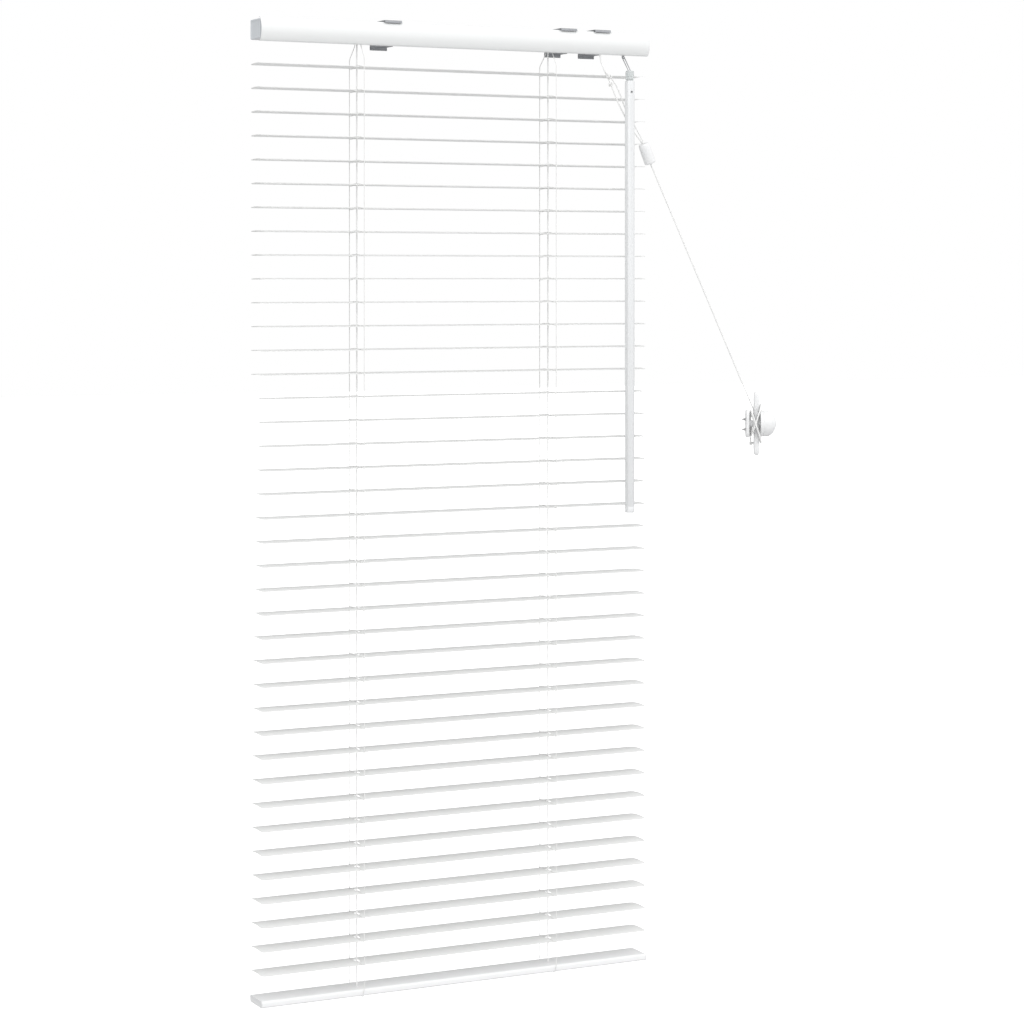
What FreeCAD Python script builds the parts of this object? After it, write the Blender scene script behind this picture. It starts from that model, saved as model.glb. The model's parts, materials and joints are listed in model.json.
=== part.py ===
"""Venetian blind, 30 mm slats, 400 mm wide, fully lowered, with its cord cleat.

Frame: X runs along the headrail with 0 at its middle, Y points into the wall
with 0 on the wall's face, Z is up with 0 level with the brackets' wall screws.
"""
import FreeCAD, Part
import Sketcher
import math
import os
import re

from FreeCAD import Placement, Rotation, Vector

X_AXIS = Vector(1, 0, 0)
Y_AXIS = Vector(0, 1, 0)
Z_AXIS = Vector(0, 0, 1)

# Driving dimensions, in millimetres and degrees.
DIMENSIONS = {
    # Slats
    "slat_count": 39,
    "slat_length": 397,
    "slat_width": 30,
    "slat_pitch": 21.67,
    "slat_thickness": 0.25,
    "slat_crown": 1,
    "slat_corner_radius": 4,
    "cord_slot_width": 4,
    "cord_slot_length": 9,
    "centre_line": -18.5,        # Y of the slats' middle line, off the wall
    "first_slat": -28.1,          # Z of the top slat
    "ladder_spread": 99,         # X of each ladder, either side of the middle
    # Headrail
    "headrail_length": 400,
    "rod_line": -21,             # Y of the headrail's middle and the tilt rod
    "channel_depth": 24,
    "channel_height": 18,
    "channel_bottom": -6.8,
    "channel_gauge": 0.6,
    "channel_lip": 3.5,
    "ladder_slot_width": 5,
    "ladder_slot_length": 16,
    "cord_opening_width": 8,
    "cord_opening_depth": 6.6,
    "cord_opening_front": 11,    # from the rod line to the opening's front edge
    "end_cap_thickness": 1.5,
    "end_spigot_length": 4,
    "fit_gap": 0.1,              # round parts that plug into one another
    "valance_height": 21.8,
    "valance_bulge": 3.8,
    "valance_gauge": 0.6,
    "valance_bottom": -9.2,
    "valance_front": -37,
    "valance_lip": 3,
    # Brackets
    "bracket_width": 17,
    "bracket_gauge": 1.2,
    "bracket_top": 14.2,
    "bracket_bottom": -11,
    "bracket_reach": 36,
    "bracket_lip_drop": 2.4,
    "bracket_foot": 15,
    "bracket_hole_radius": 2.1,
    "ceiling_hole_back": 21,     # from the wall's face to the ceiling hole
    # Tilt mechanism
    "rod_height": 3.2,           # Z of the tilt rod
    "rod_width": 4,
    "rod_length": 340,
    "cradle_length": 16,
    "cradle_height": 12,
    "cradle_well_depth": 18,
    "tunnel_depth": 14,
    "tunnel_height": 2.4,
    "drum_radius": 5.6,
    "drum_length": 9,
    "gear_radius": 4.9,
    "gear_length": 6,
    "gear_teeth": 10,
    "gear_gap_radius": 0.8,
    "tilter_length": 18,
    "tilter_depth": 20,
    "tilter_height": 15,
    "wand_line": 175,            # X of the tilter and the wand
    "worm_line": -29,            # Y of the worm
    "worm_radius": 3,
    "worm_length": 10,
    "worm_groove": 0.9,
    "worm_lead": 3.14,
    "worm_stem_radius": 1.5,
    "running_gap": 0.1,
    "universal_offset": -42.1,   # Y of the wand
    "hook_top": -10.6,           # Z of the joint under the worm
    "hook_bottom": -25,          # Z of the joint at the wand
    "hook_wire_radius": 0.7,
    "connector_radius": 4,
    "connector_length": 9,
    "connector_wall": 1,
    "spigot_radius": 2.5,
    "spigot_length": 8.5,
    "socket_depth": 9.3,         # into the wand's top
    "pin_hole_drop": 11.1,       # below the wand's top
    "pin_hole_radius": 1.1,
    "wand_across": 9.2,
    "wand_length": 413.8,
    "wand_top": -33.7,
    # Cord lock
    "lock_line": 149,            # X of the cord lock
    "lock_length": 16,
    "lock_depth": 10,
    "lock_height": 7.4,
    "roller_radius": 1.6,
    "roller_offset": 2.4,        # from the lock's middle to the roller
    "roller_height": 5.2,        # above the channel's floor
    # Ladders and cords
    "ladder_string": 0.8,
    "ladder_reach": 16.9,        # from the slats' middle line to each string
    "ladder_drop": 1.6,          # string knots below a level slat's crown
    "lift_cord": 1.4,
    "pull_cord": 1.4,
    "joiner_radius": 5.5,
    "joiner_length": 20.5,
    # Bottom rail
    "rail_height": 6.5,
    "rail_gap": 23.2,            # last slat's crown to the rail's top
    "rail_wall": 0.8,
    "rail_corner": 2,
    "rail_cap_thickness": 1,
    "plug_radius": 3,
    "plug_flange": 1,
    # Cord cleat
    "horn_span": 63,
    "horn_width": 9,
    "horn_thickness": 5.5,
    "waist_width": 7,
    "waist_length": 26,
    "base_height": 27,
    "base_width": 16,
    "base_thickness": 3,
    "base_back": -10.5,          # back of the base, behind the horns' middle
    "post_radius": 4,
    "dome_radius": 13,
    "dome_length": 16.5,
    "dome_start": 3.3,
    "cleat_screw_radius": 1.5,
    "cleat_screw_spacing": 10,
    "cleat_screw_reach": 4.5,
    "cleat_turn": 26.5,          # degrees, from facing +X towards the room
    "turns_width": 15,           # the cord wound round the post
    "turns_height": 22,
}

BRACKET_LINES = (-69.5, 113, 149.5)
CLEAT_MIDDLE = Vector(321.2, -35, -366)

# Free cords: the points each one runs through, from the object outwards.
FRONT_PULL_ROUTE = [
    (148.4, -30.4, -5.0), (148.6, -30.6, -11.0), (149.6, -33.4, -19.0), (151.6, -35.7, -25.6),
    (156.7, -36.2, -30.4), (163.0, -36.2, -37.2), (167.8, -36.2, -47.0), (172.5, -36.2, -59.0),
    (178.0, -36.4, -68.4), (183.0, -37.2, -76.4), (187.6, -38.8, -85.0), (190.9, -40.5, -92.6),
    (192.8, -40.8, -98.5),
]
REAR_PULL_ROUTE = [
    (149.8, -28.4, -5.0), (149.9, -28.8, -11.0), (150.6, -32.2, -19.2), (152.8, -35.0, -27.4),
    (158.2, -35.2, -37.4), (161.8, -35.2, -46.0), (167.4, -35.2, -57.4), (172.7, -35.2, -66.6),
    (177.6, -35.4, -75.0), (182.6, -36.2, -82.6), (187.4, -37.8, -89.0), (191.2, -38.9, -94.6),
    (193.2, -39.2, -99.5),
]
JOINER_TOP = Vector(191.2, -40.0, -93.8)
JOINER_DIRECTION = Vector(8, 0.6, -19.1)
TIE_ROUTE = [(198.7, -39.45, -111.7), (322.6, -29.6, -355.5)]

doc = FreeCAD.newDocument("venetian_blind")
sheet = doc.addObject("Spreadsheet::Sheet", "Dimensions")
for row, (alias, value) in enumerate(DIMENSIONS.items(), start=1):
    sheet.set("A%d" % row, alias)
    sheet.set("B%d" % row, str(value))
    sheet.setAlias("B%d" % row, alias)
doc.recompute()


def val(alias):
    """One driving dimension, read from the sheet."""
    return float(sheet.get(alias))


def formula(text):
    """An expression in the sheet's aliases, written with plain words."""
    def full_name(match):
        word = match.group(0)
        return "Dimensions." + word if word in DIMENSIONS else word
    return re.sub(r"[a-z][a-z_]+", full_name, str(text))


def bind(item, **sizes):
    for name, text in sizes.items():
        item.setExpression(name, formula(text))


def put(item, x=0, y=0, z=0, turn=None):
    """Place an item at expressions x, y, z, turned by a rotation."""
    item.Placement = Placement(Vector(0, 0, 0), turn or Rotation())
    for axis, text in zip("xyz", (x, y, z)):
        item.setExpression("Placement.Base." + axis, formula(text))
    return item


def box(name, sizes, at):
    item = doc.addObject("Part::Box", name)
    bind(item, Length=sizes[0], Width=sizes[1], Height=sizes[2])
    return put(item, *at)


def cylinder(name, radius, height, at, along=Z_AXIS):
    item = doc.addObject("Part::Cylinder", name)
    bind(item, Radius=radius, Height=height)
    return put(item, *at, turn=Rotation(Z_AXIS, along))


def cut(name, base, *tools):
    for number, tool in enumerate(tools, start=1):
        item = doc.addObject("Part::Cut", "%s_cut_%d" % (name, number))
        item.Base = base
        item.Tool = tool
        base = item
    base.Label = name
    return base


def fuse(name, *shapes):
    item = doc.addObject("Part::MultiFuse", name)
    item.Shapes = list(shapes)
    return item


def group(name, *items):
    item = doc.addObject("Part::Compound", name)
    item.Links = list(items)
    return item


def feature(name, shape):
    item = doc.addObject("Part::Feature", name)
    item.Shape = shape
    return item


def new_body(name):
    return doc.addObject("PartDesign::Body", name)


def origin_plane(body, role):
    return next(f for f in body.Origin.OriginFeatures if f.Role == role)


def body_box(body, name, sizes, at, add=True):
    kind = "PartDesign::AdditiveBox" if add else "PartDesign::SubtractiveBox"
    item = body.newObject(kind, name)
    bind(item, Length=sizes[0], Width=sizes[1], Height=sizes[2])
    return put(item, *at)


def body_cylinder(body, name, radius, height, at, along=Z_AXIS, add=False):
    kind = "PartDesign::AdditiveCylinder" if add else "PartDesign::SubtractiveCylinder"
    item = body.newObject(kind, name)
    bind(item, Radius=radius, Height=height)
    return put(item, *at, turn=Rotation(Z_AXIS, along))


def crowned_strip(body, name, width, crown, gauge, length, upright=False):
    """A thin strip with an arched section, padded evenly both ways along X.

    The arch's crown passes through the sketch's origin. Upright strips have
    their width along Z and bulge towards -Y.
    """
    sketch = body.newObject("Sketcher::SketchObject", name + "_section")
    sketch.AttachmentSupport = (origin_plane(body, "YZ_Plane"), [""])
    sketch.MapMode = "FlatFace"
    if upright:
        sketch.AttachmentOffset = Placement(Vector(0, 0, 0), Rotation(Z_AXIS, 90))
    half = val(width) / 2
    rise = val(crown)
    skin = val(gauge)
    radius = (half ** 2 + rise ** 2) / (2 * rise)
    centre = Vector(0, -radius, 0)
    low = math.asin(half / radius)
    inner_low = math.asin(half / (radius - skin))

    def arch(r, angle):
        circle = Part.Circle(centre, Z_AXIS, r)
        return Part.ArcOfCircle(circle, math.pi / 2 - angle, math.pi / 2 + angle)

    outer = sketch.addGeometry(arch(radius, low))
    inner = sketch.addGeometry(arch(radius - skin, inner_low))
    outer_arc = sketch.Geometry[outer]
    inner_arc = sketch.Geometry[inner]
    right = sketch.addGeometry(Part.LineSegment(outer_arc.StartPoint, inner_arc.StartPoint))
    left = sketch.addGeometry(Part.LineSegment(outer_arc.EndPoint, inner_arc.EndPoint))
    rules = [
        ("Coincident", outer, 1, right, 1), ("Coincident", inner, 1, right, 2),
        ("Coincident", outer, 2, left, 1), ("Coincident", inner, 2, left, 2),
        ("Coincident", outer, 3, inner, 3), ("PointOnObject", outer, 3, -2),
        ("Vertical", right), ("Vertical", left),
    ]
    for rule in rules:
        sketch.addConstraint(Sketcher.Constraint(*rule))
    arch_radius = "((%s)^2/4+(%s)^2)/(2*(%s))" % (width, crown, crown)
    sized = [
        ("Radius", (outer, radius), arch_radius),
        ("Radius", (inner, radius - skin), "%s-%s" % (arch_radius, gauge)),
        ("DistanceX", (-1, 1, outer, 1, half), "(%s)/2" % width),
        ("DistanceX", (outer, 2, -1, 1, half), "(%s)/2" % width),
        ("DistanceY", (outer, 3, -1, 1, radius), arch_radius),
    ]
    for kind, numbers, text in sized:
        index = sketch.addConstraint(Sketcher.Constraint(kind, *numbers))
        sketch.setExpression("Constraints[%d]" % index, formula(text))
    pad = body.newObject("PartDesign::Pad", name + "_pad")
    pad.Profile = sketch
    pad.SideType = "Symmetric"
    bind(pad, Length=length)
    doc.recompute()
    return pad


def cord_path(points, report=""):
    """Straight runs joined by tangent arcs, as large as the runs allow."""
    points = [Vector(*p) for p in points]
    edges = []
    start = points[0]
    radii = []
    for before, corner, after in zip(points, points[1:], points[2:]):
        into = (corner - before).normalize()
        out = (after - corner).normalize()
        turn = into.getAngle(out)
        short = min(before.distanceToPoint(corner), corner.distanceToPoint(after))
        reach = 0.45 * short
        radii.append(reach / math.tan(turn / 2))
        first = corner - into * reach
        last = corner + out * reach
        bisector = (out - into).normalize()
        middle = corner + bisector * (radii[-1] / math.cos(turn / 2) - radii[-1])
        edges.append(Part.LineSegment(start, first).toShape())
        edges.append(Part.Arc(first, middle, last).toShape())
        start = last
    edges.append(Part.LineSegment(start, points[-1]).toShape())
    if report:
        print(report, "bend radii", [round(r, 1) for r in radii])
    return Part.Wire(edges)


def tube(points, diameter, report=""):
    path = cord_path(points, report)
    start = Vector(*points[0])
    heading = Vector(*points[1]) - start
    ring = Part.Wire(Part.makeCircle(diameter / 2, start, heading))
    solid = path.makePipeShell([ring], True, False)
    if solid.Volume < 0:
        solid.reverse()
    expected = math.pi * diameter ** 2 / 4 * path.Length
    if abs(solid.Volume / expected - 1) > 0.01:
        raise RuntimeError("tube %s has the wrong volume" % report)
    if report:
        print(report, "length", round(path.Length, 1))
    return solid


# Slats: one blank, placed once for each slat.
def make_slat_plan():
    """The slat seen from above, as a thick plate: round corners, cord slots."""
    body = new_body("slat_plan")
    body_box(body, "slat_plate", ("slat_length", "slat_width", "4*slat_crown"),
             ("-slat_length/2", "-slat_width/2", "-3*slat_crown"))
    doc.recompute()
    upright = [
        "Edge%d" % n for n, e in enumerate(body.Tip.Shape.Edges, start=1)
        if abs(e.Length - 4 * val("slat_crown")) < 0.01
    ]
    corners = body.newObject("PartDesign::Fillet", "slat_corners")
    corners.Base = (doc.getObject("slat_plate"), upright)
    bind(corners, Radius="slat_corner_radius")
    straight = "(cord_slot_length-cord_slot_width)"
    for side, sign in (("left", "-"), ("right", "")):
        line = "%sladder_spread" % sign
        body_box(body, "slot_" + side, ("cord_slot_width", straight, "slat_width"),
                 (line + "-cord_slot_width/2", "-%s/2" % straight, "-slat_width/2"), add=False)
        for end, way in (("front", "-"), ("rear", "")):
            body_cylinder(body, "slot_%s_%s" % (side, end), "cord_slot_width/2", "slat_width",
                          (line, "%s%s/2" % (way, straight), "-slat_width/2"))
    return body


def make_slat_blank():
    plan = make_slat_plan()
    arch = new_body("slat_arch")
    crowned_strip(arch, "slat", "slat_width", "slat_crown", "slat_thickness", "slat_length")
    blank = doc.addObject("Part::MultiCommon", "slat_blank")
    blank.Shapes = [arch, plan]
    return blank


def make_slats(blank):
    slats = []
    for number in range(1, int(val("slat_count")) + 1):
        slat = group("slat_%02d" % number, blank)
        put(slat, 0, "centre_line", "first_slat-%d*slat_pitch" % (number - 1))
        slats.append(slat)
    return slats


# Headrail: a channel open at the top, a curved valance, two end caps.
def make_channel():
    body = new_body("headrail_channel")
    length = "headrail_length-2*end_cap_thickness"
    front = "rod_line-channel_depth/2"
    body_box(body, "channel_block", (length, "channel_depth", "channel_height"),
             ("-(%s)/2" % length, front, "channel_bottom"))
    body_box(body, "channel_hollow",
             (length + "+2", "channel_depth-2*channel_gauge", "channel_height-2*channel_gauge"),
             ("-(%s)/2-1" % length, front + "+channel_gauge", "channel_bottom+channel_gauge"),
             add=False)
    body_box(body, "channel_mouth", (length + "+2", "channel_depth-2*channel_lip", "channel_height"),
             ("-(%s)/2-1" % length, front + "+channel_lip", "channel_bottom+channel_gauge"),
             add=False)
    for side, sign in (("left", "-"), ("right", "")):
        body_box(body, "ladder_slot_" + side, ("ladder_slot_width", "ladder_slot_length", 4),
                 ("%sladder_spread-ladder_slot_width/2" % sign, "rod_line-ladder_slot_length/2",
                  "channel_bottom-2"), add=False)
    body_box(body, "cord_opening", ("cord_opening_width", "cord_opening_depth", 4),
             ("lock_line-cord_opening_width/2", "rod_line-cord_opening_front",
              "channel_bottom-2"), add=False)
    body_cylinder(body, "stem_opening", "worm_stem_radius+1", 4,
                  ("wand_line", "worm_line", "channel_bottom-2"))
    return body


def make_valance():
    body = new_body("headrail_valance")
    crowned_strip(body, "valance", "valance_height", "valance_bulge", "valance_gauge",
                  "headrail_length", upright=True)
    half = "valance_height/2"
    for name, height in (("top", "%s-valance_gauge" % half), ("bottom", "-%s" % half)):
        body_box(body, "valance_%s_lip" % name,
                 ("headrail_length", "valance_lip", "valance_gauge"),
                 ("-headrail_length/2", "valance_bulge-0.3", height))
    put(body, 0, "valance_front", "valance_bottom+valance_height/2")
    return body


def make_end_caps():
    caps = []
    for side, x in (("left", "-headrail_length/2"),
                    ("right", "headrail_length/2-end_cap_thickness")):
        plate = box("end_plate_" + side, ("end_cap_thickness", "channel_depth", "channel_height"),
                    (x, "rod_line-channel_depth/2", "channel_bottom"))
        inward = "+end_cap_thickness" if side == "left" else "-end_spigot_length"
        spigot = box("end_spigot_" + side,
                     ("end_spigot_length", "channel_depth-2*channel_gauge-2*fit_gap",
                      "channel_height-2*channel_gauge-2*fit_gap"),
                     (x + inward, "rod_line-channel_depth/2+channel_gauge+fit_gap",
                      "channel_bottom+channel_gauge+fit_gap"))
        hollow = box("end_hollow_" + side,
                     ("end_spigot_length", "channel_depth-2*channel_gauge-2*fit_gap-2",
                      "channel_height-2*channel_gauge-2*fit_gap-2"),
                     (x + inward, "rod_line-channel_depth/2+channel_gauge+fit_gap+1",
                      "channel_bottom+channel_gauge+fit_gap+1"))
        collar = cut("end_collar_" + side, spigot, hollow)
        caps.append(fuse("end_cap_" + side, plate, collar))
    return group("end_caps", *caps)


# Mounting brackets: folded steel straps that hold the headrail to the wall.
def make_brackets():
    body = new_body("bracket_blank")
    left = "-bracket_width/2"
    body_box(body, "bracket_wall_plate", ("bracket_width", "bracket_gauge", "bracket_top-bracket_bottom"),
             (left, "-bracket_gauge", "bracket_bottom"))
    body_box(body, "bracket_top_plate", ("bracket_width", "bracket_reach", "bracket_gauge"),
             (left, "-bracket_reach", "bracket_top-bracket_gauge"))
    body_box(body, "bracket_front_lip",
             ("bracket_width", "bracket_gauge", "bracket_lip_drop"),
             (left, "-bracket_reach", "bracket_top-bracket_lip_drop"))
    body_box(body, "bracket_foot_plate", ("bracket_width", "bracket_foot", "bracket_gauge"),
             (left, "-bracket_foot", "channel_bottom-0.2-bracket_gauge"))
    body_cylinder(body, "bracket_wall_hole", "bracket_hole_radius", "bracket_gauge+2",
                  (0, "-bracket_gauge-1", 0), along=Y_AXIS)
    body_cylinder(body, "bracket_ceiling_hole", "bracket_hole_radius", "bracket_gauge+2",
                  (0, "-ceiling_hole_back", "bracket_top-bracket_gauge-1"))
    brackets = []
    for number, line in enumerate(BRACKET_LINES, start=1):
        brackets.append(put(group("bracket_%d" % number, body), line))
    return group("mounting_brackets", *brackets)


# Tilt mechanism inside the headrail.
def make_ladder_cradles():
    cradles = []
    for side, sign in (("left", "-"), ("right", "")):
        x = "%sladder_spread" % sign
        block = box("cradle_block_" + side, ("cradle_length", "channel_depth-2*channel_gauge-4*fit_gap",
                                               "cradle_height"),
                    (x + "-cradle_length/2", "rod_line-channel_depth/2+channel_gauge+2*fit_gap",
                     "channel_bottom+channel_gauge"))
        well = box("cradle_well_" + side, ("drum_length+1", "cradle_well_depth", "cradle_height+2"),
                   (x + "-(drum_length+1)/2", "rod_line-cradle_well_depth/2", "channel_bottom-1"))
        bearing = cylinder("cradle_bearing_" + side, "rod_width/2+running_gap", "cradle_length+4",
                           (x + "-cradle_length/2-2", "rod_line", "rod_height"), along=X_AXIS)
        mouth = box("cradle_mouth_" + side, ("cradle_length+4", "rod_width-0.6", "cradle_height"),
                    (x + "-cradle_length/2-2", "rod_line-rod_width/2+0.3", "rod_height"))
        tunnel = box("cradle_tunnel_" + side, ("cradle_length+4", "tunnel_depth", "tunnel_height"),
                     (x + "-cradle_length/2-2", "rod_line-tunnel_depth/2",
                      "channel_bottom+channel_gauge"))
        cradles.append(cut("cradle_" + side, block, well, bearing, mouth, tunnel))
    return group("ladder_cradles", *cradles)


def make_tilt_rod():
    """A square rod with two ladder drums and the tilter's gear on it."""
    rod = box("rod_bar", ("rod_length", "rod_width/1.4142", "rod_width/1.4142"),
              ("-rod_length/2+10", "rod_line-rod_width/2.8284", "rod_height-rod_width/2.8284"))
    pieces = [rod]
    for side, sign in (("left", "-"), ("right", "")):
        drum = cylinder("drum_" + side, "drum_radius", "drum_length",
                        ("%sladder_spread-drum_length/2" % sign, "rod_line", "rod_height"),
                        along=X_AXIS)
        bore = box("drum_bore_" + side, ("drum_length", "rod_width/1.4142", "rod_width/1.4142"),
                   ("%sladder_spread-drum_length/2" % sign, "rod_line-rod_width/2.8284",
                    "rod_height-rod_width/2.8284"))
        pieces.append(cut("ladder_drum_" + side, drum, bore))
    wheel = cylinder("gear_wheel", "gear_radius", "gear_length",
                     ("wand_line-gear_length/2", "rod_line", "rod_height"), along=X_AXIS)
    wheel_bore = box("gear_bore", ("gear_length", "rod_width/1.4142", "rod_width/1.4142"),
                     ("wand_line-gear_length/2", "rod_line-rod_width/2.8284",
                      "rod_height-rod_width/2.8284"))
    tools = [wheel_bore]
    teeth = int(val("gear_teeth"))
    for tooth in range(teeth):
        angle = 2 * math.pi * (tooth + 0.5) / teeth
        tools.append(cylinder(
            "gear_gap_%d" % (tooth + 1), "gear_gap_radius", "gear_length",
            ("wand_line-gear_length/2", "rod_line+gear_radius*%.6f" % math.cos(angle),
             "rod_height+gear_radius*%.6f" % math.sin(angle)), along=X_AXIS))
    pieces.append(cut("tilter_gear", wheel, *tools))
    return group("tilt_rod", *pieces)


def make_tilter():
    """The tilter's housing and the worm that stands in it."""
    floor = "channel_bottom+channel_gauge"
    block = box("tilter_block", ("tilter_length", "tilter_depth", "tilter_height"),
                ("wand_line-tilter_length/2", "worm_line-worm_radius-0.3", floor))
    gear_room = cylinder("tilter_gear_room", "gear_radius+0.5", 14,
                         ("wand_line-7", "rod_line", "rod_height"), along=X_AXIS)
    rod_way = cylinder("tilter_rod_way", "rod_width/2+0.3", "tilter_length+6",
                       ("wand_line-tilter_length/2-3", "rod_line", "rod_height"), along=X_AXIS)
    worm_room = cylinder("tilter_worm_room", "worm_radius+running_gap", "worm_length+1",
                         ("wand_line", "worm_line", floor + "+1.5"))
    stem_way = cylinder("tilter_stem_way", "worm_stem_radius+running_gap", 4,
                        ("wand_line", "worm_line", floor + "-1"))
    housing = cut("tilter_housing", block, gear_room, rod_way, worm_room, stem_way)
    worm = cylinder("worm_barrel", "worm_radius", "worm_length",
                    ("wand_line", "worm_line", floor + "+1.8"))
    grooves = []
    for number in range(3):
        groove = doc.addObject("Part::Torus", "worm_groove_%d" % (number + 1))
        bind(groove, Radius1="worm_radius+0.3", Radius2="worm_groove")
        grooves.append(put(groove, "wand_line", "worm_line",
                           "rod_height+%d*worm_lead" % (number - 1)))
    threaded = cut("worm_thread", worm, *grooves)
    stem = cylinder("worm_stem", "worm_stem_radius", floor + "+2-hook_top-1.4",
                    ("wand_line", "worm_line", "hook_top+1.4"))
    return housing, fuse("tilter_worm", threaded, stem)


def make_hook():
    """The steel link from the worm's stem down to the wand's connector."""
    top = Vector(val("wand_line"), val("worm_line"), val("hook_top"))
    bottom = Vector(val("wand_line"), val("universal_offset"), val("hook_bottom"))
    wire = val("hook_wire_radius")
    shank = Part.makeCylinder(wire, top.distanceToPoint(bottom), bottom, top - bottom)
    upper = Part.makeSphere(1.1, top)
    lower = Part.makeSphere(1.3, bottom)
    return feature("wand_hook", shank.fuse([upper, lower]).removeSplitter())


def make_wand():
    """A six-sided wand and the clear connector that hangs it on the hook."""
    x = "wand_line"
    y = "universal_offset"
    cup = cylinder("connector_cup", "connector_radius", "connector_length",
                   (x, y, "wand_top"))
    throat = cylinder("connector_throat", "connector_radius-connector_wall", "connector_length",
                      (x, y, "wand_top+2"))
    spigot = cylinder("connector_spigot", "spigot_radius", "spigot_length",
                      (x, y, "wand_top-spigot_length"))
    connector = fuse("wand_connector", cut("connector_shell", cup, throat), spigot)
    bar = doc.addObject("Part::Prism", "wand_bar")
    bar.Polygon = 6
    bind(bar, Circumradius="wand_across/1.9", Height="wand_length")
    put(bar, x, y, "wand_top-0.2-wand_length")
    socket = cylinder("wand_socket", "spigot_radius+running_gap", "socket_depth+1",
                      (x, y, "wand_top-0.2-socket_depth"))
    pin_hole = cylinder("wand_pin_hole", "pin_hole_radius", "wand_across+2",
                        (x, y + "-wand_across/2-1", "wand_top-0.2-pin_hole_drop"), along=Y_AXIS)
    return connector, cut("tilt_wand", bar, socket, pin_hole)


# Cord lock: a housing with a knurled roller that pinches the cords.
def make_cord_lock():
    floor = "channel_bottom+channel_gauge"
    block = box("lock_block", ("lock_length", "lock_depth", "lock_height"),
                ("lock_line-lock_length/2", "rod_line-11.2", floor))
    throat = box("lock_throat", (9, 7, 9), ("lock_line-4.5", "rod_line-10.6", floor + "-1"))
    way = box("lock_way", (20, 5, 3.2), ("lock_line-14", "rod_line-6.6", floor))
    pin_way = cylinder("lock_pin_way", "roller_radius*0.5+0.05", 12,
                       ("lock_line+roller_offset", "rod_line-11.6", floor + "+roller_height"), along=Y_AXIS)
    lock = cut("cord_lock", block, throat, way, pin_way)
    barrel = cylinder("roller_barrel", "roller_radius", 5,
                      ("lock_line+roller_offset", "rod_line-9.6", floor + "+roller_height"), along=Y_AXIS)
    pin = cylinder("roller_pin", "roller_radius*0.5", 8.6,
                   ("lock_line+roller_offset", "rod_line-11", floor + "+roller_height"), along=Y_AXIS)
    return lock, fuse("cord_lock_roller", barrel, pin)


# Bottom rail: a flat tube with its end caps and ladder plugs.
def make_bottom_rail():
    rail_top = "first_slat-(slat_count-1)*slat_pitch-rail_gap"
    body = new_body("rail_tube")
    length = "slat_length-2*rail_cap_thickness"
    body_box(body, "rail_block", (length, "slat_width", "rail_height"),
             ("-(%s)/2" % length, "-slat_width/2", "-rail_height"))
    doc.recompute()
    long_edges = [
        "Edge%d" % n for n, e in enumerate(body.Tip.Shape.Edges, start=1)
        if e.Length > val("slat_length") / 2
    ]
    rounded = body.newObject("PartDesign::Fillet", "rail_corners")
    rounded.Base = (doc.getObject("rail_block"), long_edges)
    bind(rounded, Radius="rail_corner")
    body_box(body, "rail_hollow",
             (length + "+2", "slat_width-2*rail_corner", "rail_height-2*rail_wall"),
             ("-(%s)/2-1" % length, "-slat_width/2+rail_corner", "-rail_height+rail_wall"),
             add=False)
    for side, sign in (("left", "-"), ("right", "")):
        body_cylinder(body, "rail_cord_hole_" + side, "plug_radius-0.5", "rail_height+2",
                      ("%sladder_spread" % sign, 0, "-rail_height-1"))
    put(body, 0, "centre_line", rail_top)
    pieces = [body]
    for side, x in (("left", "-slat_length/2"), ("right", "slat_length/2-rail_cap_thickness")):
        cap = box("rail_cap_block_" + side, ("rail_cap_thickness", "slat_width", "rail_height"),
                  (x, "centre_line-slat_width/2", "%s-rail_height" % rail_top))
        edges = doc.addObject("Part::Fillet", "rail_cap_" + side)
        edges.Base = cap
        doc.recompute()
        corner = val("rail_corner")
        edges.Edges = [
            (n, corner, corner) for n, e in enumerate(cap.Shape.Edges, start=1)
            if abs(e.Length - val("rail_cap_thickness")) < 0.01
        ]
        pieces.append(edges)
    for side, sign in (("left", "-"), ("right", "")):
        x = "%sladder_spread" % sign
        head = cylinder("plug_head_" + side, "plug_radius+1", "plug_flange",
                        (x, "centre_line", "%s-rail_height-plug_flange" % rail_top))
        stem = cylinder("plug_stem_" + side, "plug_radius-0.6", 2.5,
                        (x, "centre_line", "%s-rail_height" % rail_top))
        pieces.append(fuse("ladder_plug_" + side, head, stem))
    return group("bottom_rail", *pieces)


# Ladders and lift cords.
def make_ladder_strings():
    """The front and rear strings of both ladders, from drum to bottom rail."""
    middle = val("centre_line")
    rod = val("rod_line")
    reach = val("ladder_reach")
    width = val("ladder_string")
    drum = val("drum_radius") + width / 2 + 0.1
    first = val("first_slat")
    rail_top = first - (val("slat_count") - 1) * val("slat_pitch") - val("rail_gap")
    nodes = []
    for name, way in (("front", -1), ("rear", 1)):
        strings = []
        for side in (-1, 1):
            x = side * val("ladder_spread")
            route = [
                (x, rod + way * drum, val("rod_height")),
                (x, rod + way * drum, val("channel_bottom") - 1.5),
                (x, middle + way * reach, first + 10),
                (x, middle + way * reach, rail_top - val("rail_height") + 2),
            ]
            strings.append(tube(route, width, "ladder %s" % name))
        nodes.append(feature("ladder_cords_" + name, Part.makeCompound(strings)))
    return nodes


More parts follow.
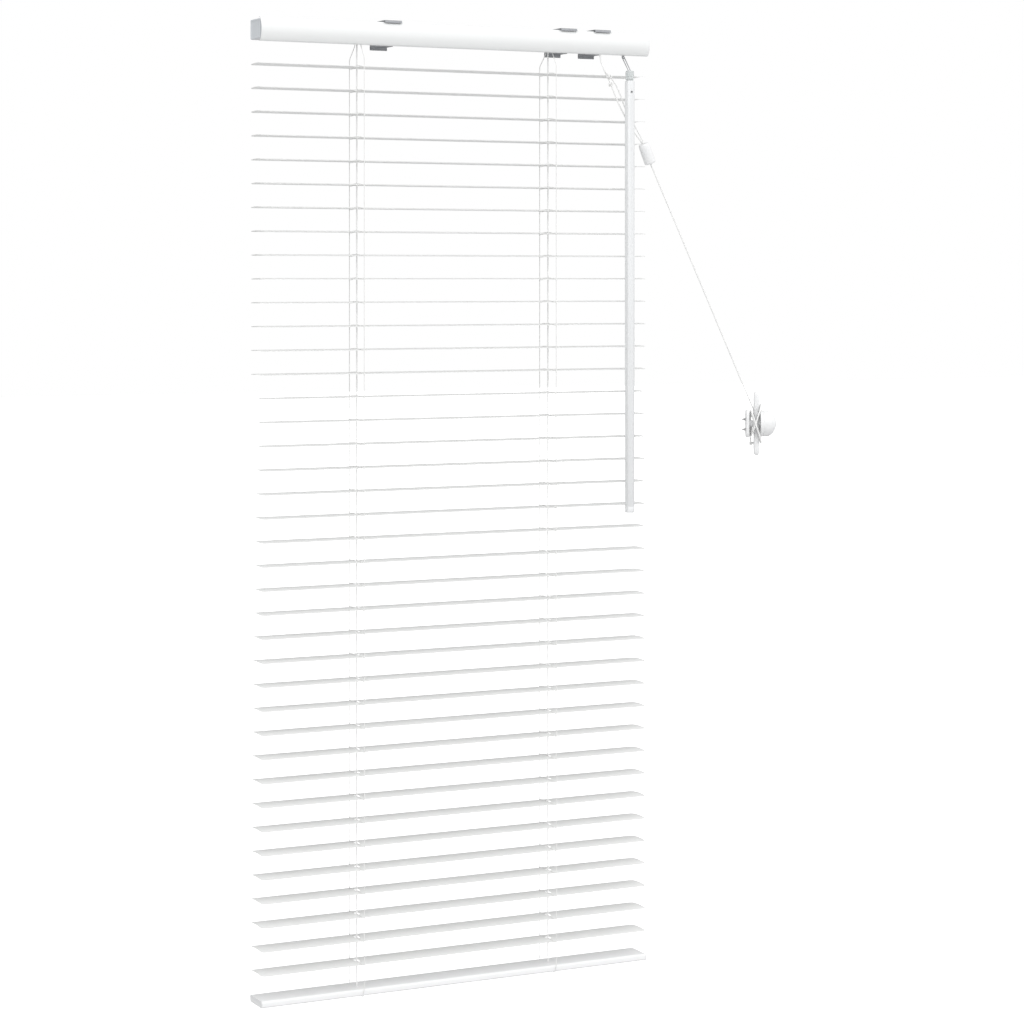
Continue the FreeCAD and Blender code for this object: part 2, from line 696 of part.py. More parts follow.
def make_lift_cords():
    """Each lift cord: up through its slots, then along to the cord lock."""
    middle = val("centre_line")
    first = val("first_slat")
    rail_top = first - (val("slat_count") - 1) * val("slat_pitch") - val("rail_gap")
    floor = val("channel_bottom") + val("channel_gauge") + val("lift_cord") / 2 + 0.15
    lock = val("lock_line") - 9
    cords = []
    for side, shift in ((-1, -1.4), (1, 1.4)):
        x = side * val("ladder_spread")
        route = [
            (x, middle, rail_top - val("rail_height") + 3),
            (x, middle, floor),
            (x + 8, middle, floor),
            (lock, val("rod_line") + shift - 4.2, floor),
        ]
        cords.append(tube(route, val("lift_cord"), "lift"))
    return feature("lift_cords", Part.makeCompound(cords))


# Pull cords, their joiner, and the tie cord to the cleat.
def make_pull_cords():
    width = val("pull_cord")
    cords = []
    for name, route in (("front", FRONT_PULL_ROUTE), ("rear", REAR_PULL_ROUTE)):
        cords.append(tube(route, width, "pull " + name))
    return feature("pull_cords", Part.makeCompound(cords))


def make_joiner():
    """A hollow barrel: the pull cords go in at its top, the tie cord leaves below."""
    along = Vector(JOINER_DIRECTION).normalize()
    length = val("joiner_length")
    shell = Part.makeCylinder(val("joiner_radius"), length, JOINER_TOP, along)
    shell = shell.makeFillet(1.2, [e for e in shell.Edges if e.Closed])
    cavity = Part.makeCylinder(val("joiner_radius") - 1.8, length - 3, JOINER_TOP - along, along)
    bore = Part.makeCylinder(val("pull_cord") / 2 + 0.3, length + 4, JOINER_TOP, along)
    return feature("cord_joiner", shell.cut([cavity, bore]))


def cleat_place():
    turn = Rotation(Z_AXIS, -val("cleat_turn"))
    return Placement(CLEAT_MIDDLE, turn)


def make_cleat():
    """Horns, post, base, cap and screws, built facing +X and then turned."""
    span = val("horn_span")
    width = val("horn_width")
    thick = val("horn_thickness")
    horns = Part.makeBox(thick, width, span, Vector(-thick / 2, -width / 2, -span / 2))
    tips = [e for e in horns.Edges if abs(e.Length - width) < 0.01]
    horns = horns.makeFillet(thick * 0.4, tips)
    side = (width - val("waist_width")) / 2
    for way in (-1, 1):
        notch = Part.makeBox(thick + 2, side, val("waist_length"), Vector(
            -thick / 2 - 1, way * width / 2 - (side if way > 0 else 0),
            -val("waist_length") / 2))
        horns = horns.cut(notch)
    back = val("base_back")
    base_thick = val("base_thickness")
    base = Part.makeBox(base_thick, val("base_width"), val("base_height"),
                        Vector(back, -val("base_width") / 2, -val("base_height") / 2))
    corners = [e for e in base.Edges if abs(e.Length - base_thick) < 0.01]
    base = base.makeFillet(5, corners)
    post = Part.makeCylinder(val("post_radius") - 0.6, -back - base_thick,
                             Vector(back + base_thick, 0, 0), X_AXIS)
    body = horns.fuse([base, post]).removeSplitter()
    neck = val("dome_start") - thick / 2
    start = Vector(val("dome_start"), 0, 0)
    round_part = val("dome_length") * 0.55
    ball_radius = (val("dome_radius") ** 2 + round_part ** 2) / (2 * round_part)
    ball = Part.makeSphere(ball_radius, start + X_AXIS * (val("dome_length") - ball_radius))
    barrel = Part.makeCylinder(val("dome_radius"), val("dome_length") + 1, start, X_AXIS)
    cap = barrel.common(ball)
    peg = Part.makeCylinder(3, neck, Vector(thick / 2, 0, 0), X_AXIS)
    cap = cap.fuse(peg).removeSplitter()
    screws = []
    spacing = val("cleat_screw_spacing")
    radius = val("cleat_screw_radius")
    for way in (-1, 1):
        centre = Vector(back, 0, way * spacing / 2 - 1)
        hole = Part.makeCylinder(radius, base_thick, centre, X_AXIS)
        seat = Part.makeCylinder(radius * 1.8, 1.2, centre + X_AXIS * (base_thick - 1.2), X_AXIS)
        body = body.cut([hole, seat])
        reach = val("cleat_screw_reach")
        shank = Part.makeCylinder(radius, base_thick + reach, centre - X_AXIS * reach, X_AXIS)
        screws.append(shank.fuse(seat).removeSplitter())
    cleat = Part.makeCompound([body, cap] + screws)
    item = feature("cord_cleat", cleat)
    item.Placement = cleat_place()
    return item, body


def make_tie_cord(cleat_body):
    """The single cord from the joiner, and its turns round the cleat."""
    straight = tube(TIE_ROUTE, val("pull_cord"), "tie")
    front = val("horn_thickness") / 2
    back = val("base_back") + val("base_thickness") + 0.1
    across = val("turns_width")
    high = val("turns_height")
    turns = Part.makeBox(front - back, across, high, Vector(back, -across / 2, -high / 2))
    turns = turns.makeFillet(3, [e for e in turns.Edges if abs(e.Length - (front - back)) < 0.01])
    turns = turns.cut(cleat_body)
    turns.Placement = cleat_place()
    return feature("tie_cord", straight.fuse(turns))


nodes = make_slats(make_slat_blank())
nodes += [make_channel(), make_valance(), make_end_caps(), make_brackets()]
nodes += [make_ladder_cradles(), make_tilt_rod()]
nodes += [*make_tilter(), make_hook(), *make_wand(), *make_cord_lock()]
nodes += [make_bottom_rail(), *make_ladder_strings(), make_lift_cords()]
cleat_node, cleat_solid = make_cleat()
nodes += [make_pull_cords(), make_joiner(), cleat_node, make_tie_cord(cleat_solid)]

doc.recompute()
for item in doc.Objects:
    if "Invalid" in item.State or "Error" in item.State:
        raise RuntimeError("%s did not build: %s" % (item.Label, item.State))

os.makedirs("parts", exist_ok=True)
for node in nodes:
    shape = node.Shape
    if shape.isNull() or not shape.isValid() or not shape.Solids:
        raise RuntimeError("%s has no valid shape" % node.Label)
    shape.exportStep("parts/%s.step" % node.Label)
print("wrote", len(nodes), "nodes")
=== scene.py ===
# %% [markdown]
# # A venetian blind and its cord cleat
# A blind like this is a curtain of thin slats that two string ladders carry. A rod in the
# headrail winds the ladders to tilt the slats, a wand turns the rod through a worm, and the
# lift cords leave the headrail through a lock, meet in a small joiner and end as one tie cord
# on a cleat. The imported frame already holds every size, place and pivot, so the script starts
# by loading it and only ever asks it where things are.

# %% Load the frame
import json
import math

import bmesh
import bpy
import numpy as np
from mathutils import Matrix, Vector

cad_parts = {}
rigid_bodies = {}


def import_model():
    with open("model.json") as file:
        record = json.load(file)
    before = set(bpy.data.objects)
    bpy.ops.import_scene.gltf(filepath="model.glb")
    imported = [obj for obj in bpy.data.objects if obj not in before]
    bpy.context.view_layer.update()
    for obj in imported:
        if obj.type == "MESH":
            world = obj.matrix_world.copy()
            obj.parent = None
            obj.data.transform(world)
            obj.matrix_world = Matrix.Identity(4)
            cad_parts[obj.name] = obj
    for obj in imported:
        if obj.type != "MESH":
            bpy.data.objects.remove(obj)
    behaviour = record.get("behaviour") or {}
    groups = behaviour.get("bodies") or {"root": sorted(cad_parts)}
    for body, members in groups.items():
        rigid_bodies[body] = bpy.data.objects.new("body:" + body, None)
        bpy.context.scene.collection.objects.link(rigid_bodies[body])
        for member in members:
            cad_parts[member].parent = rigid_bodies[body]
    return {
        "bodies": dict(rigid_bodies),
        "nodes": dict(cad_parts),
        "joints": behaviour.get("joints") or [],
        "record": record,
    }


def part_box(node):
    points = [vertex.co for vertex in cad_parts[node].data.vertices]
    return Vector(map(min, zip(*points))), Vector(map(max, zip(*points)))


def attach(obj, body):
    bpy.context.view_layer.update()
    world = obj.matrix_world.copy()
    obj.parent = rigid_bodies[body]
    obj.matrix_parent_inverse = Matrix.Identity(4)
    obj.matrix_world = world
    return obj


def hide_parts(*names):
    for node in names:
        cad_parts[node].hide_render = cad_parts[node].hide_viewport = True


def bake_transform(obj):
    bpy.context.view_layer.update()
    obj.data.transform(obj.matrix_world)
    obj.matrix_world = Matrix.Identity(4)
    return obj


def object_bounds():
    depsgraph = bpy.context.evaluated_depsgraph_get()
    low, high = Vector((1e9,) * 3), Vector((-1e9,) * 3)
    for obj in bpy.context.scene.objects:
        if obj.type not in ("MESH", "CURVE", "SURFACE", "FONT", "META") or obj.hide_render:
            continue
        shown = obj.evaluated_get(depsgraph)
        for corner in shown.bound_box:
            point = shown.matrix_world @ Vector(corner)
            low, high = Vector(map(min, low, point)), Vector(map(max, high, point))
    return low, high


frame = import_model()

MM = 0.001
cad_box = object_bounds()
joints = {joint["name"]: joint for joint in frame["joints"]}
mounts = {mount["name"]: mount for mount in frame["record"]["mounts"]}

# %% [markdown]
# ## Camera
# The blind is seen from its left and from slightly below its headrail, with a long lens held
# level. A level camera keeps upright things upright, and the lens shift, not a tilt, brings
# the whole length of the blind into view.

# %% Camera
CAMERA_PLACE = Vector((-1.1029, -2.3524, -0.2235))
CAMERA_TURN = math.radians(-26.5)
LENS = 96.8
LENS_SHIFT = -0.228

camera_data = bpy.data.cameras.new("camera")
camera_data.sensor_width = 36
camera_data.lens = LENS
camera_data.shift_y = LENS_SHIFT
camera = bpy.data.objects.new("camera", camera_data)
camera.location = CAMERA_PLACE
camera.rotation_euler = (math.radians(90), 0, CAMERA_TURN)
bpy.context.scene.collection.objects.link(camera)
bpy.context.scene.camera = camera
print("camera at", tuple(CAMERA_PLACE))

# %% [markdown]
# ## Reading the frame
# Names for the lines that many pieces share: the slats' pivots, the two ladders, the wand.
# Each is worked out from a node's box or a joint, so a change in the frame moves every piece.


# %% Shared lines
def pivot(name):
    return Vector(joints[name]["pos_m"])


SLATS = sorted(name for name in frame["bodies"] if name.startswith("slat_"))
slat_low, slat_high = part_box(SLATS[0])
slat_pivots = [pivot(name + "_tilt") for name in SLATS]
SLAT_LENGTH = slat_high.x - slat_low.x
SLAT_WIDTH = slat_high.y - slat_low.y
STRING = 0.8 * MM
CORD = 1.4 * MM
LADDER_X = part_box("ladder_cords_front")[1].x - STRING / 2
STRING_CLEAR = 0.4 * MM  # keeps the strings off the slats' edges when the blind is closed
FRONT_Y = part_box("ladder_cords_front")[0].y + STRING / 2 - STRING_CLEAR
REAR_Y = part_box("ladder_cords_rear")[1].y - STRING / 2 + STRING_CLEAR
MIDDLE_Y = slat_pivots[0].y
ROD_Y = pivot("tilt_turn").y
RUNG_DROP = slat_pivots[0].z - pivot("ladder_front_hang").z
rail_pivot = pivot("bottom_rail_tilt")
rail_low, rail_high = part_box("bottom_rail")
print("slats:", len(SLATS), "ladders at x =", round(LADDER_X, 4))

# %% [markdown]
# ## Tools of the bench
# Most of a blind is bent strip, drawn wire and turned or moulded plastic. So the bench has
# five tools: a sweep that runs a round section along a line, a lathe, a folder that bends
# strip, a loft, and an edge rounder. They make real surfaces with the right sections, which
# scaled cubes and cylinders can't give.


# %% Making and finishing meshes
CRISP = 35                   # degrees: an edge sharper than this stays crisp


def link(piece):
    bpy.context.scene.collection.objects.link(piece)
    return piece


def mesh_piece(name, points, faces, material, sharp=CRISP):
    """A mesh object, smooth except across edges sharper than an angle."""
    mesh = bpy.data.meshes.new(name)
    mesh.from_pydata([tuple(p) for p in points], [], faces)
    bm = bmesh.new()
    bm.from_mesh(mesh)
    bmesh.ops.recalc_face_normals(bm, faces=bm.faces)
    bm.to_mesh(mesh)
    bm.free()
    mesh.shade_smooth()
    mesh.set_sharp_from_angle(angle=math.radians(sharp))
    mesh.materials.append(material)
    return link(bpy.data.objects.new(name, mesh))


def round_edges(piece, width, segments=2, angle=CRISP):
    """Break the hard edges, as a mould or a press does."""
    bevel = piece.modifiers.new("rounded_edges", "BEVEL")
    bevel.width = width
    bevel.segments = segments
    bevel.limit_method = "ANGLE"
    bevel.angle_limit = math.radians(angle)
    bevel.harden_normals = True
    return piece


def tell(start):
    """Print the pieces whose names begin so, with the number of their faces."""
    for piece in bpy.data.objects:
        if piece.type == "MESH" and piece.name.startswith(start):
            print(piece.name, len(piece.data.polygons), "faces")


def apply_modifiers(piece):
    """Turn a piece's modifiers into mesh."""
    graph = bpy.context.evaluated_depsgraph_get()
    mesh = bpy.data.meshes.new_from_object(piece.evaluated_get(graph), depsgraph=graph)
    piece.modifiers.clear()
    piece.data = mesh


def drill(piece, *plugs):
    """Cut plugs out of a piece and throw the plugs away."""
    for plug in plugs:
        hole = piece.modifiers.new("hole", "BOOLEAN")
        hole.object = plug
        hole.solver = "EXACT"
    bpy.context.view_layer.update()
    apply_modifiers(piece)
    for plug in plugs:
        bpy.data.objects.remove(plug)
    piece.data.set_sharp_from_angle(angle=math.radians(CRISP))


def join(name, *pieces):
    """One object from several, with all their faces."""
    bm = bmesh.new()
    for piece in pieces:
        piece.data.transform(piece.matrix_world)
        bm.from_mesh(piece.data)
    mesh = bpy.data.meshes.new(name)
    bm.to_mesh(mesh)
    bm.free()
    mesh.materials.append(pieces[0].data.materials[0])
    for piece in pieces:
        bpy.data.objects.remove(piece)
    return link(bpy.data.objects.new(name, mesh))


# %% Sweep: wire, thread and cord
def directions(line, closed):
    """Heading and two steady side directions at each point, without twist."""
    if closed:
        heading = np.roll(line, -1, axis=0) - np.roll(line, 1, axis=0)
    else:
        heading = np.gradient(line, axis=0)
    heading /= np.linalg.norm(heading, axis=1)[:, None]
    start = np.array([1.0, 0, 0]) if abs(heading[0][0]) < 0.8 else np.array([0, 1.0, 0])
    side = np.empty_like(line)
    for i, ahead in enumerate(heading):
        start = start - ahead * (start @ ahead)
        start = start / np.linalg.norm(start)
        side[i] = start
    return side, np.cross(heading, side)


def spaced(line, step):
    """The same line with evenly spaced points."""
    line = np.array([tuple(p) for p in line], float)
    run = np.linalg.norm(np.diff(line, axis=0), axis=1)
    along = np.concatenate([[0], np.cumsum(run)])
    at = np.linspace(0, along[-1], max(2, round(along[-1] / step) + 1))
    return np.stack([np.interp(at, along, line[:, k]) for k in range(3)], axis=1)


def sweep(name, line, radius, sides, material, relief=None, closed=False):
    """A round section along a line; relief(along, angle) scales its radius."""
    line = np.array([tuple(p) for p in line], float)
    side, up = directions(line, closed)
    along = np.concatenate([[0], np.cumsum(np.linalg.norm(np.diff(line, axis=0), axis=1))])
    angle = np.arange(sides) * 2 * math.pi / sides
    reach = radius * (relief(along[:, None], angle[None, :]) if relief else 1)
    reach = np.broadcast_to(reach, (len(line), sides))[:, :, None]
    rings = line[:, None] + reach * (
        side[:, None] * np.cos(angle)[None, :, None] + up[:, None] * np.sin(angle)[None, :, None])
    count = len(line)
    faces = []
    for ring in range(count if closed else count - 1):
        here = ring * sides
        there = (ring + 1) % count * sides
        faces += [(here + k, here + (k + 1) % sides, there + (k + 1) % sides, there + k)
                  for k in range(sides)]
    if not closed:
        faces += [tuple(range(sides))[::-1], tuple(range((count - 1) * sides, count * sides))]
    return mesh_piece(name, rings.reshape(-1, 3), faces, material, sharp=60)


def plait(period, carriers=4, depth=0.16):
    """The relief of a plaited cord: ridges that cross in both directions."""
    def relief(along, angle):
        turn = 2 * math.pi * along / period
        ridges = np.maximum(np.cos(carriers * angle - turn), np.cos(carriers * angle + turn))
        return 1 - depth * (1 - ridges) / 2
    return relief


def twist(lay, strands=3, depth=0.22):
    """The relief of twisted yarn: round strands that wind one way."""
    def relief(along, angle):
        wave = np.abs(np.cos(strands / 2 * (angle - 2 * math.pi * along / lay)))
        return 1 - depth * (1 - wave)
    return relief


# %% Lathe, folder and loft
def turned(name, profile, base, axis, material, sides=48, closed=False):
    """A turned part. The profile is (distance along the axis, radius) in millimetres."""
    axis = Vector(axis).normalized()
    turn = axis.to_track_quat("Z", "Y")
    points = []
    rings = []
    for along, radius in profile:
        if radius == 0:
            rings.append([len(points)])
            points.append(Vector(base) + turn @ Vector((0, 0, along * MM)))
            continue
        rings.append(list(range(len(points), len(points) + sides)))
        for k in range(sides):
            angle = 2 * math.pi * k / sides
            spot = Vector((radius * math.cos(angle), radius * math.sin(angle), along)) * MM
            points.append(Vector(base) + turn @ spot)
    faces = []
    pairs = list(zip(rings, rings[1:] + rings[:1]))
    for a, b in pairs if closed else pairs[:-1]:
        for k in range(sides):
            n = (k + 1) % sides
            corner = [a[k % len(a)], a[n % len(a)], b[n % len(b)], b[k % len(b)]]
            faces.append(tuple(dict.fromkeys(corner)))
    return mesh_piece(name, points, faces, material, sharp=30)


def cutter(radius, reach, spot, axis, material):
    """A plug to drill with, reaching equally far both ways, in millimetres."""
    return turned("cutter", [(-reach, 0), (-reach, radius), (reach, radius), (reach, 0)],
                  spot, axis, material)


def bent(path, radius, steps=5):
    """A 2-D path with its corners turned into arcs."""
    path = [Vector(p) for p in path]
    out = [path[0]]
    for before, corner, after in zip(path, path[1:], path[2:]):
        into = (corner - before).normalized()
        away = (after - corner).normalized()
        turn = into.angle(away)
        reach = min(radius * math.tan(turn / 2), 0.49 * min((corner - before).length,
                                                            (after - corner).length))
        first = corner - into * reach
        last = corner + away * reach
        for k in range(steps + 1):
            t = k / steps
            out.append(first * (1 - t) ** 2 + corner * (2 * t * (1 - t)) + last * t ** 2)
    return out + [path[-1]]


def folded(path, gauge):
    """The closed outline of a strip of that gauge, centred on a path."""
    left, right = [], []
    for k, spot in enumerate(path):
        ahead = (path[min(k + 1, len(path) - 1)] - path[max(k - 1, 0)]).normalized()
        out = Vector((-ahead.y, ahead.x)) * gauge / 2
        left.append(spot + out)
        right.append(spot - out)
    return left + right[::-1]


def extruded(name, outline, start, end, material):
    """A (y, z) outline pulled along X from start to end."""
    count = len(outline)
    points = [(x, p[0], p[1]) for x in (start, end) for p in outline]
    faces = [(k, (k + 1) % count, count + (k + 1) % count, count + k) for k in range(count)]
    faces += [tuple(range(count)), tuple(range(2 * count - 1, count - 1, -1))]
    return mesh_piece(name, points, faces, material)


def rounded_box(width, height, corner, steps=5):
    """The outline of a rectangle with round corners, about its middle."""
    points = []
    for quarter in range(4):
        middle = Vector((width / 2 - corner, height / 2 - corner))
        middle.x *= 1 if quarter in (0, 3) else -1
        middle.y *= 1 if quarter in (0, 1) else -1
        for k in range(steps + 1):
            angle = math.pi / 2 * (quarter + k / steps)
            points.append(middle + Vector((math.cos(angle), math.sin(angle))) * corner)
    return points


def loft(name, rings, material, sharp=CRISP):
    """Skin over rings of points, closed at both ends."""
    sides = len(rings[0])
    points = [p for ring in rings for p in ring]
    faces = []
    for r in range(len(rings) - 1):
        faces += [(r * sides + k, r * sides + (k + 1) % sides,
                   (r + 1) * sides + (k + 1) % sides, (r + 1) * sides + k) for k in range(sides)]
    faces += [tuple(range(sides)), tuple(range(len(points) - 1, len(points) - sides - 1, -1))]
    return mesh_piece(name, points, faces, material, sharp)


# %% [markdown]
# ## Effects that several finishes share
# Painted strip, moulded plastic and plated steel differ in colour and gloss, but the same
# things happen to them: a fine grain from making, dust on what faces up, wear on edges. Each
# effect is one node group with its own inputs, and each finish uses it with its own numbers.


# %% Node helpers
def node(tree, kind, values=None, **settings):
    """Add a node; a value that is a socket is linked, any other is set."""
    made = tree.nodes.new(kind)
    for key, value in settings.items():
        setattr(made, key, value)
    for key, value in (values or {}).items():
        if isinstance(value, bpy.types.NodeSocket):
            tree.links.new(value, made.inputs[key])
        else:
            made.inputs[key].default_value = value
    return made


def new_effect(name, inputs):
    """An empty group with float or vector inputs and one Mask output."""
    tree = bpy.data.node_groups.new(name, "ShaderNodeTree")
    for label, value in inputs.items():
        vector = isinstance(value, tuple)
        kind = "NodeSocketVector" if vector else "NodeSocketFloat"
        tree.interface.new_socket(label, in_out="INPUT", socket_type=kind).default_value = value
    tree.interface.new_socket("Mask", in_out="OUTPUT", socket_type="NodeSocketFloat")
    return tree, tree.nodes.new("NodeGroupInput").outputs, tree.nodes.new("NodeGroupOutput").inputs


# %% Grain: a noise that can be drawn out along one direction
grain, given, out = new_effect(
    "grain", {"Scale": 400.0, "Stretch": (1.0, 1.0, 1.0), "Detail": 3.0})
place = node(grain, "ShaderNodeTexCoord").outputs["Object"]
own = node(grain, "ShaderNodeObjectInfo").outputs["Random"]
shifted = node(grain, "ShaderNodeVectorMath", {0: place, 1: own}, operation="ADD").outputs[0]
drawn = node(grain, "ShaderNodeVectorMath", {0: shifted, 1: given["Stretch"]},
             operation="MULTIPLY").outputs[0]
noise = node(grain, "ShaderNodeTexNoise",
             {"Vector": drawn, "Scale": given["Scale"], "Detail": given["Detail"]})
grain.links.new(noise.outputs[0], out["Mask"])

# %% Dust: thicker on what faces up, in soft patches
dust, given, out = new_effect("dust", {"Amount": 0.3, "Scale": 60.0})
place = node(dust, "ShaderNodeTexCoord")
upward = node(dust, "ShaderNodeSeparateXYZ", {0: place.outputs["Normal"]}).outputs["Z"]
facing = node(dust, "ShaderNodeMapRange", {0: upward, 1: 0.2, 2: 0.95}).outputs[0]
patches = node(dust, "ShaderNodeTexNoise",
               {"Vector": place.outputs["Object"], "Scale": given["Scale"], "Detail": 5.0})
soft = node(dust, "ShaderNodeMapRange", {0: patches.outputs[0], 1: 0.35, 2: 0.75}).outputs[0]
both = node(dust, "ShaderNodeMath", {0: facing, 1: soft}, operation="MULTIPLY").outputs[0]
final = node(dust, "ShaderNodeMath", {0: both, 1: given["Amount"]},
             operation="MULTIPLY").outputs[0]
dust.links.new(final, out["Mask"])

# %% Edge wear: where a rounded edge turns away from its face
wear, given, out = new_effect("edge_wear", {"Radius": 0.0006, "Amount": 1.0, "Scale": 500.0})
true_normal = node(wear, "ShaderNodeNewGeometry").outputs["Normal"]
rounded = node(wear, "ShaderNodeBevel", {"Radius": given["Radius"]}, samples=4).outputs[0]
alike = node(wear, "ShaderNodeVectorMath", {0: true_normal, 1: rounded},
             operation="DOT_PRODUCT").outputs["Value"]
edge = node(wear, "ShaderNodeMapRange", {0: alike, 1: 0.995, 2: 0.85}).outputs[0]
place = node(wear, "ShaderNodeTexCoord").outputs["Object"]
chips = node(wear, "ShaderNodeTexNoise", {"Vector": place, "Scale": given["Scale"]}).outputs[0]
broken = node(wear, "ShaderNodeMapRange", {0: chips, 1: 0.4, 2: 0.6}).outputs[0]
both = node(wear, "ShaderNodeMath", {0: edge, 1: broken}, operation="MULTIPLY").outputs[0]
final = node(wear, "ShaderNodeMath", {0: both, 1: given["Amount"]},
             operation="MULTIPLY").outputs[0]
wear.links.new(final, out["Mask"])
print("effects:", [tree.name for tree in (grain, dust, wear)])

# %% [markdown]
# ## Finishes
# Every finish starts from one shader with its plain numbers set on the shader itself. Masks
# from the effects then vary the colour, the roughness and a bump around those numbers, since
# even a clean white part shows rolling lines, a trace of dust and a softer edge up close.


# %% Finish builder
MIX_A, MIX_B, MIX_RESULT = 6, 7, 2   # the colour sockets of a Mix node


def finish(name, colour, roughness, **sockets):
    """A material with one shader; other sockets are given by their names."""
    made = bpy.data.materials.new(name)
    made.use_nodes = True
    shader = made.node_tree.nodes["Principled BSDF"]
    shader.inputs["Base Color"].default_value = (*colour, 1)
    shader.inputs["Roughness"].default_value = roughness
    for label, value in sockets.items():
        shader.inputs[label.replace("_", " ").title().replace("Ior", "IOR")].default_value = value
    return made


def mask_of(made, effect, **values):
    """Use an effect in a material and give its mask."""
    tree = made.node_tree
    used = node(tree, "ShaderNodeGroup", node_tree=effect)
    for label, value in values.items():
        used.inputs[label.capitalize()].default_value = value
    return used.outputs["Mask"]


def colour_by(made, mask, other, strength):
    """Blend the base colour towards another where the mask is high."""
    tree = made.node_tree
    target = tree.nodes["Principled BSDF"].inputs["Base Color"]
    amount = node(tree, "ShaderNodeMath", {0: mask, 1: strength}, operation="MULTIPLY").outputs[0]
    mix = node(tree, "ShaderNodeMix", {"Factor": amount}, data_type="RGBA")
    mix.inputs[MIX_A].default_value = target.default_value
    if target.links:
        tree.links.new(target.links[0].from_socket, mix.inputs[MIX_A])
    mix.inputs[MIX_B].default_value = (*other, 1)
    tree.links.new(mix.outputs[MIX_RESULT], target)


def scaled(colour, by):
    """A colour made lighter or darker, at most white."""
    return tuple(min(1, c * by) for c in colour)


def roughness_by(made, mask, low, high):
    """Let the roughness run from low to high with the mask."""
    tree = made.node_tree
    ranged = node(tree, "ShaderNodeMapRange", {0: mask, 3: low, 4: high}).outputs[0]
    tree.links.new(ranged, tree.nodes["Principled BSDF"].inputs["Roughness"])


def bump_by(made, mask, depth, strength):
    """Relief as deep as the depth, in metres, where the mask is high."""
    tree = made.node_tree
    bump = node(tree, "ShaderNodeBump", {"Height": mask, "Distance": depth, "Strength": strength})
    tree.links.new(bump.outputs[0], tree.nodes["Principled BSDF"].inputs["Normal"])


# %% [markdown]
# ## The blind's own finishes
# Stoved enamel on rolled strip is smooth and a little glossy. The rolls leave faint lines
# along its length, so its grain is drawn out along X, and its colour drifts by a hair.
# Plastic, plated steel, thread and clear plastic each get a builder of their own too.


# %% Enamel, plastics, metals and threads
def enamel(name, colour, gloss=0.34):
    made = finish(name, colour, gloss, coat_weight=0.25, coat_roughness=0.2)
    lines = mask_of(made, grain, scale=300.0, stretch=(0.02, 1.0, 1.0))
    peel = mask_of(made, grain, scale=900.0, detail=1.0)
    colour_by(made, lines, scaled(colour, 0.965), 0.8)
    colour_by(made, mask_of(made, dust, amount=0.25, scale=45.0), (0.74, 0.73, 0.7), 0.4)
    roughness_by(made, lines, gloss - 0.06, gloss + 0.08)
    bump_by(made, peel, 0.00003, 0.35)
    return made


def moulded(name, colour, gloss=0.4, worn=0.35):
    """Injection-moulded plastic: a fine spark-eroded grain and rubbed edges."""
    made = finish(name, colour, gloss, ior=1.5)
    cloud = mask_of(made, grain, scale=90.0)
    colour_by(made, cloud, scaled(colour, 0.94), 0.7)
    colour_by(made, mask_of(made, wear, radius=0.0005), scaled(colour, 1.12), worn)
    colour_by(made, mask_of(made, dust, amount=0.3, scale=120.0), (0.62, 0.6, 0.56), 0.3)
    roughness_by(made, cloud, gloss - 0.05, gloss + 0.12)
    bump_by(made, mask_of(made, grain, scale=2600.0, detail=2.0), 0.00005, 0.5)
    return made


def plated(name, colour, gloss, rubbed):
    """Plated steel: metal, with a drawn grain, dull clouds and bright rubbed edges."""
    made = finish(name, colour, gloss, metallic=1.0)
    drawn_lines = mask_of(made, grain, scale=1200.0, stretch=(1.0, 0.06, 0.06))
    cloud = mask_of(made, grain, scale=140.0, detail=4.0)
    colour_by(made, cloud, scaled(colour, 0.7), 0.8)
    colour_by(made, mask_of(made, wear, radius=0.0004), rubbed, 0.8)
    roughness_by(made, cloud, gloss - 0.08, gloss + 0.15)
    bump_by(made, drawn_lines, 0.00003, 0.6)
    return made


def thread(name, colour):
    """Polyester yarn: soft, slightly shiny, with fine fibres and a drift of colour."""
    made = finish(name, colour, 0.75, sheen_weight=0.35, sheen_roughness=0.4)
    fibres = mask_of(made, grain, scale=5200.0, detail=2.0)
    drift = mask_of(made, grain, scale=70.0)
    colour_by(made, fibres, scaled(colour, 0.92), 0.7)
    colour_by(made, drift, scaled(colour, 0.95), 0.8)
    roughness_by(made, fibres, 0.65, 0.88)
    bump_by(made, fibres, 0.00006, 0.8)
    return made


def clear(name):
    """Clear plastic with a faint grey cast and moulding haze."""
    made = finish(name, (0.9, 0.93, 0.93), 0.14, transmission_weight=0.45, ior=1.49)
    haze = mask_of(made, grain, scale=500.0)
    colour_by(made, haze, (0.82, 0.86, 0.86), 0.8)
    roughness_by(made, haze, 0.08, 0.3)
    bump_by(made, haze, 0.00002, 0.3)
    return made


SLAT_ENAMEL = enamel("slat_enamel", (0.93, 0.935, 0.93))
VALANCE_ENAMEL = enamel("valance_enamel", (0.86, 0.87, 0.87), 0.3)
RAIL_ENAMEL = enamel("rail_enamel", (0.9, 0.905, 0.91), 0.36)
CHANNEL_ENAMEL = enamel("channel_enamel", (0.62, 0.63, 0.65), 0.4)
CAP_PLASTIC = moulded("cap_plastic", (0.66, 0.69, 0.72), 0.42)
INNER_PLASTIC = moulded("inner_plastic", (0.72, 0.72, 0.7), 0.45)
NYLON = moulded("nylon", (0.86, 0.85, 0.8), 0.5)
WHITE_PLASTIC = moulded("white_plastic", (0.88, 0.885, 0.89), 0.36, 0.2)
WAND_PLASTIC = moulded("wand_plastic", (0.82, 0.83, 0.84), 0.25, 0.3)
RAIL_PLASTIC = moulded("rail_plastic", (0.84, 0.845, 0.85), 0.4, 0.2)
CLEAR_PLASTIC = clear("clear_plastic")
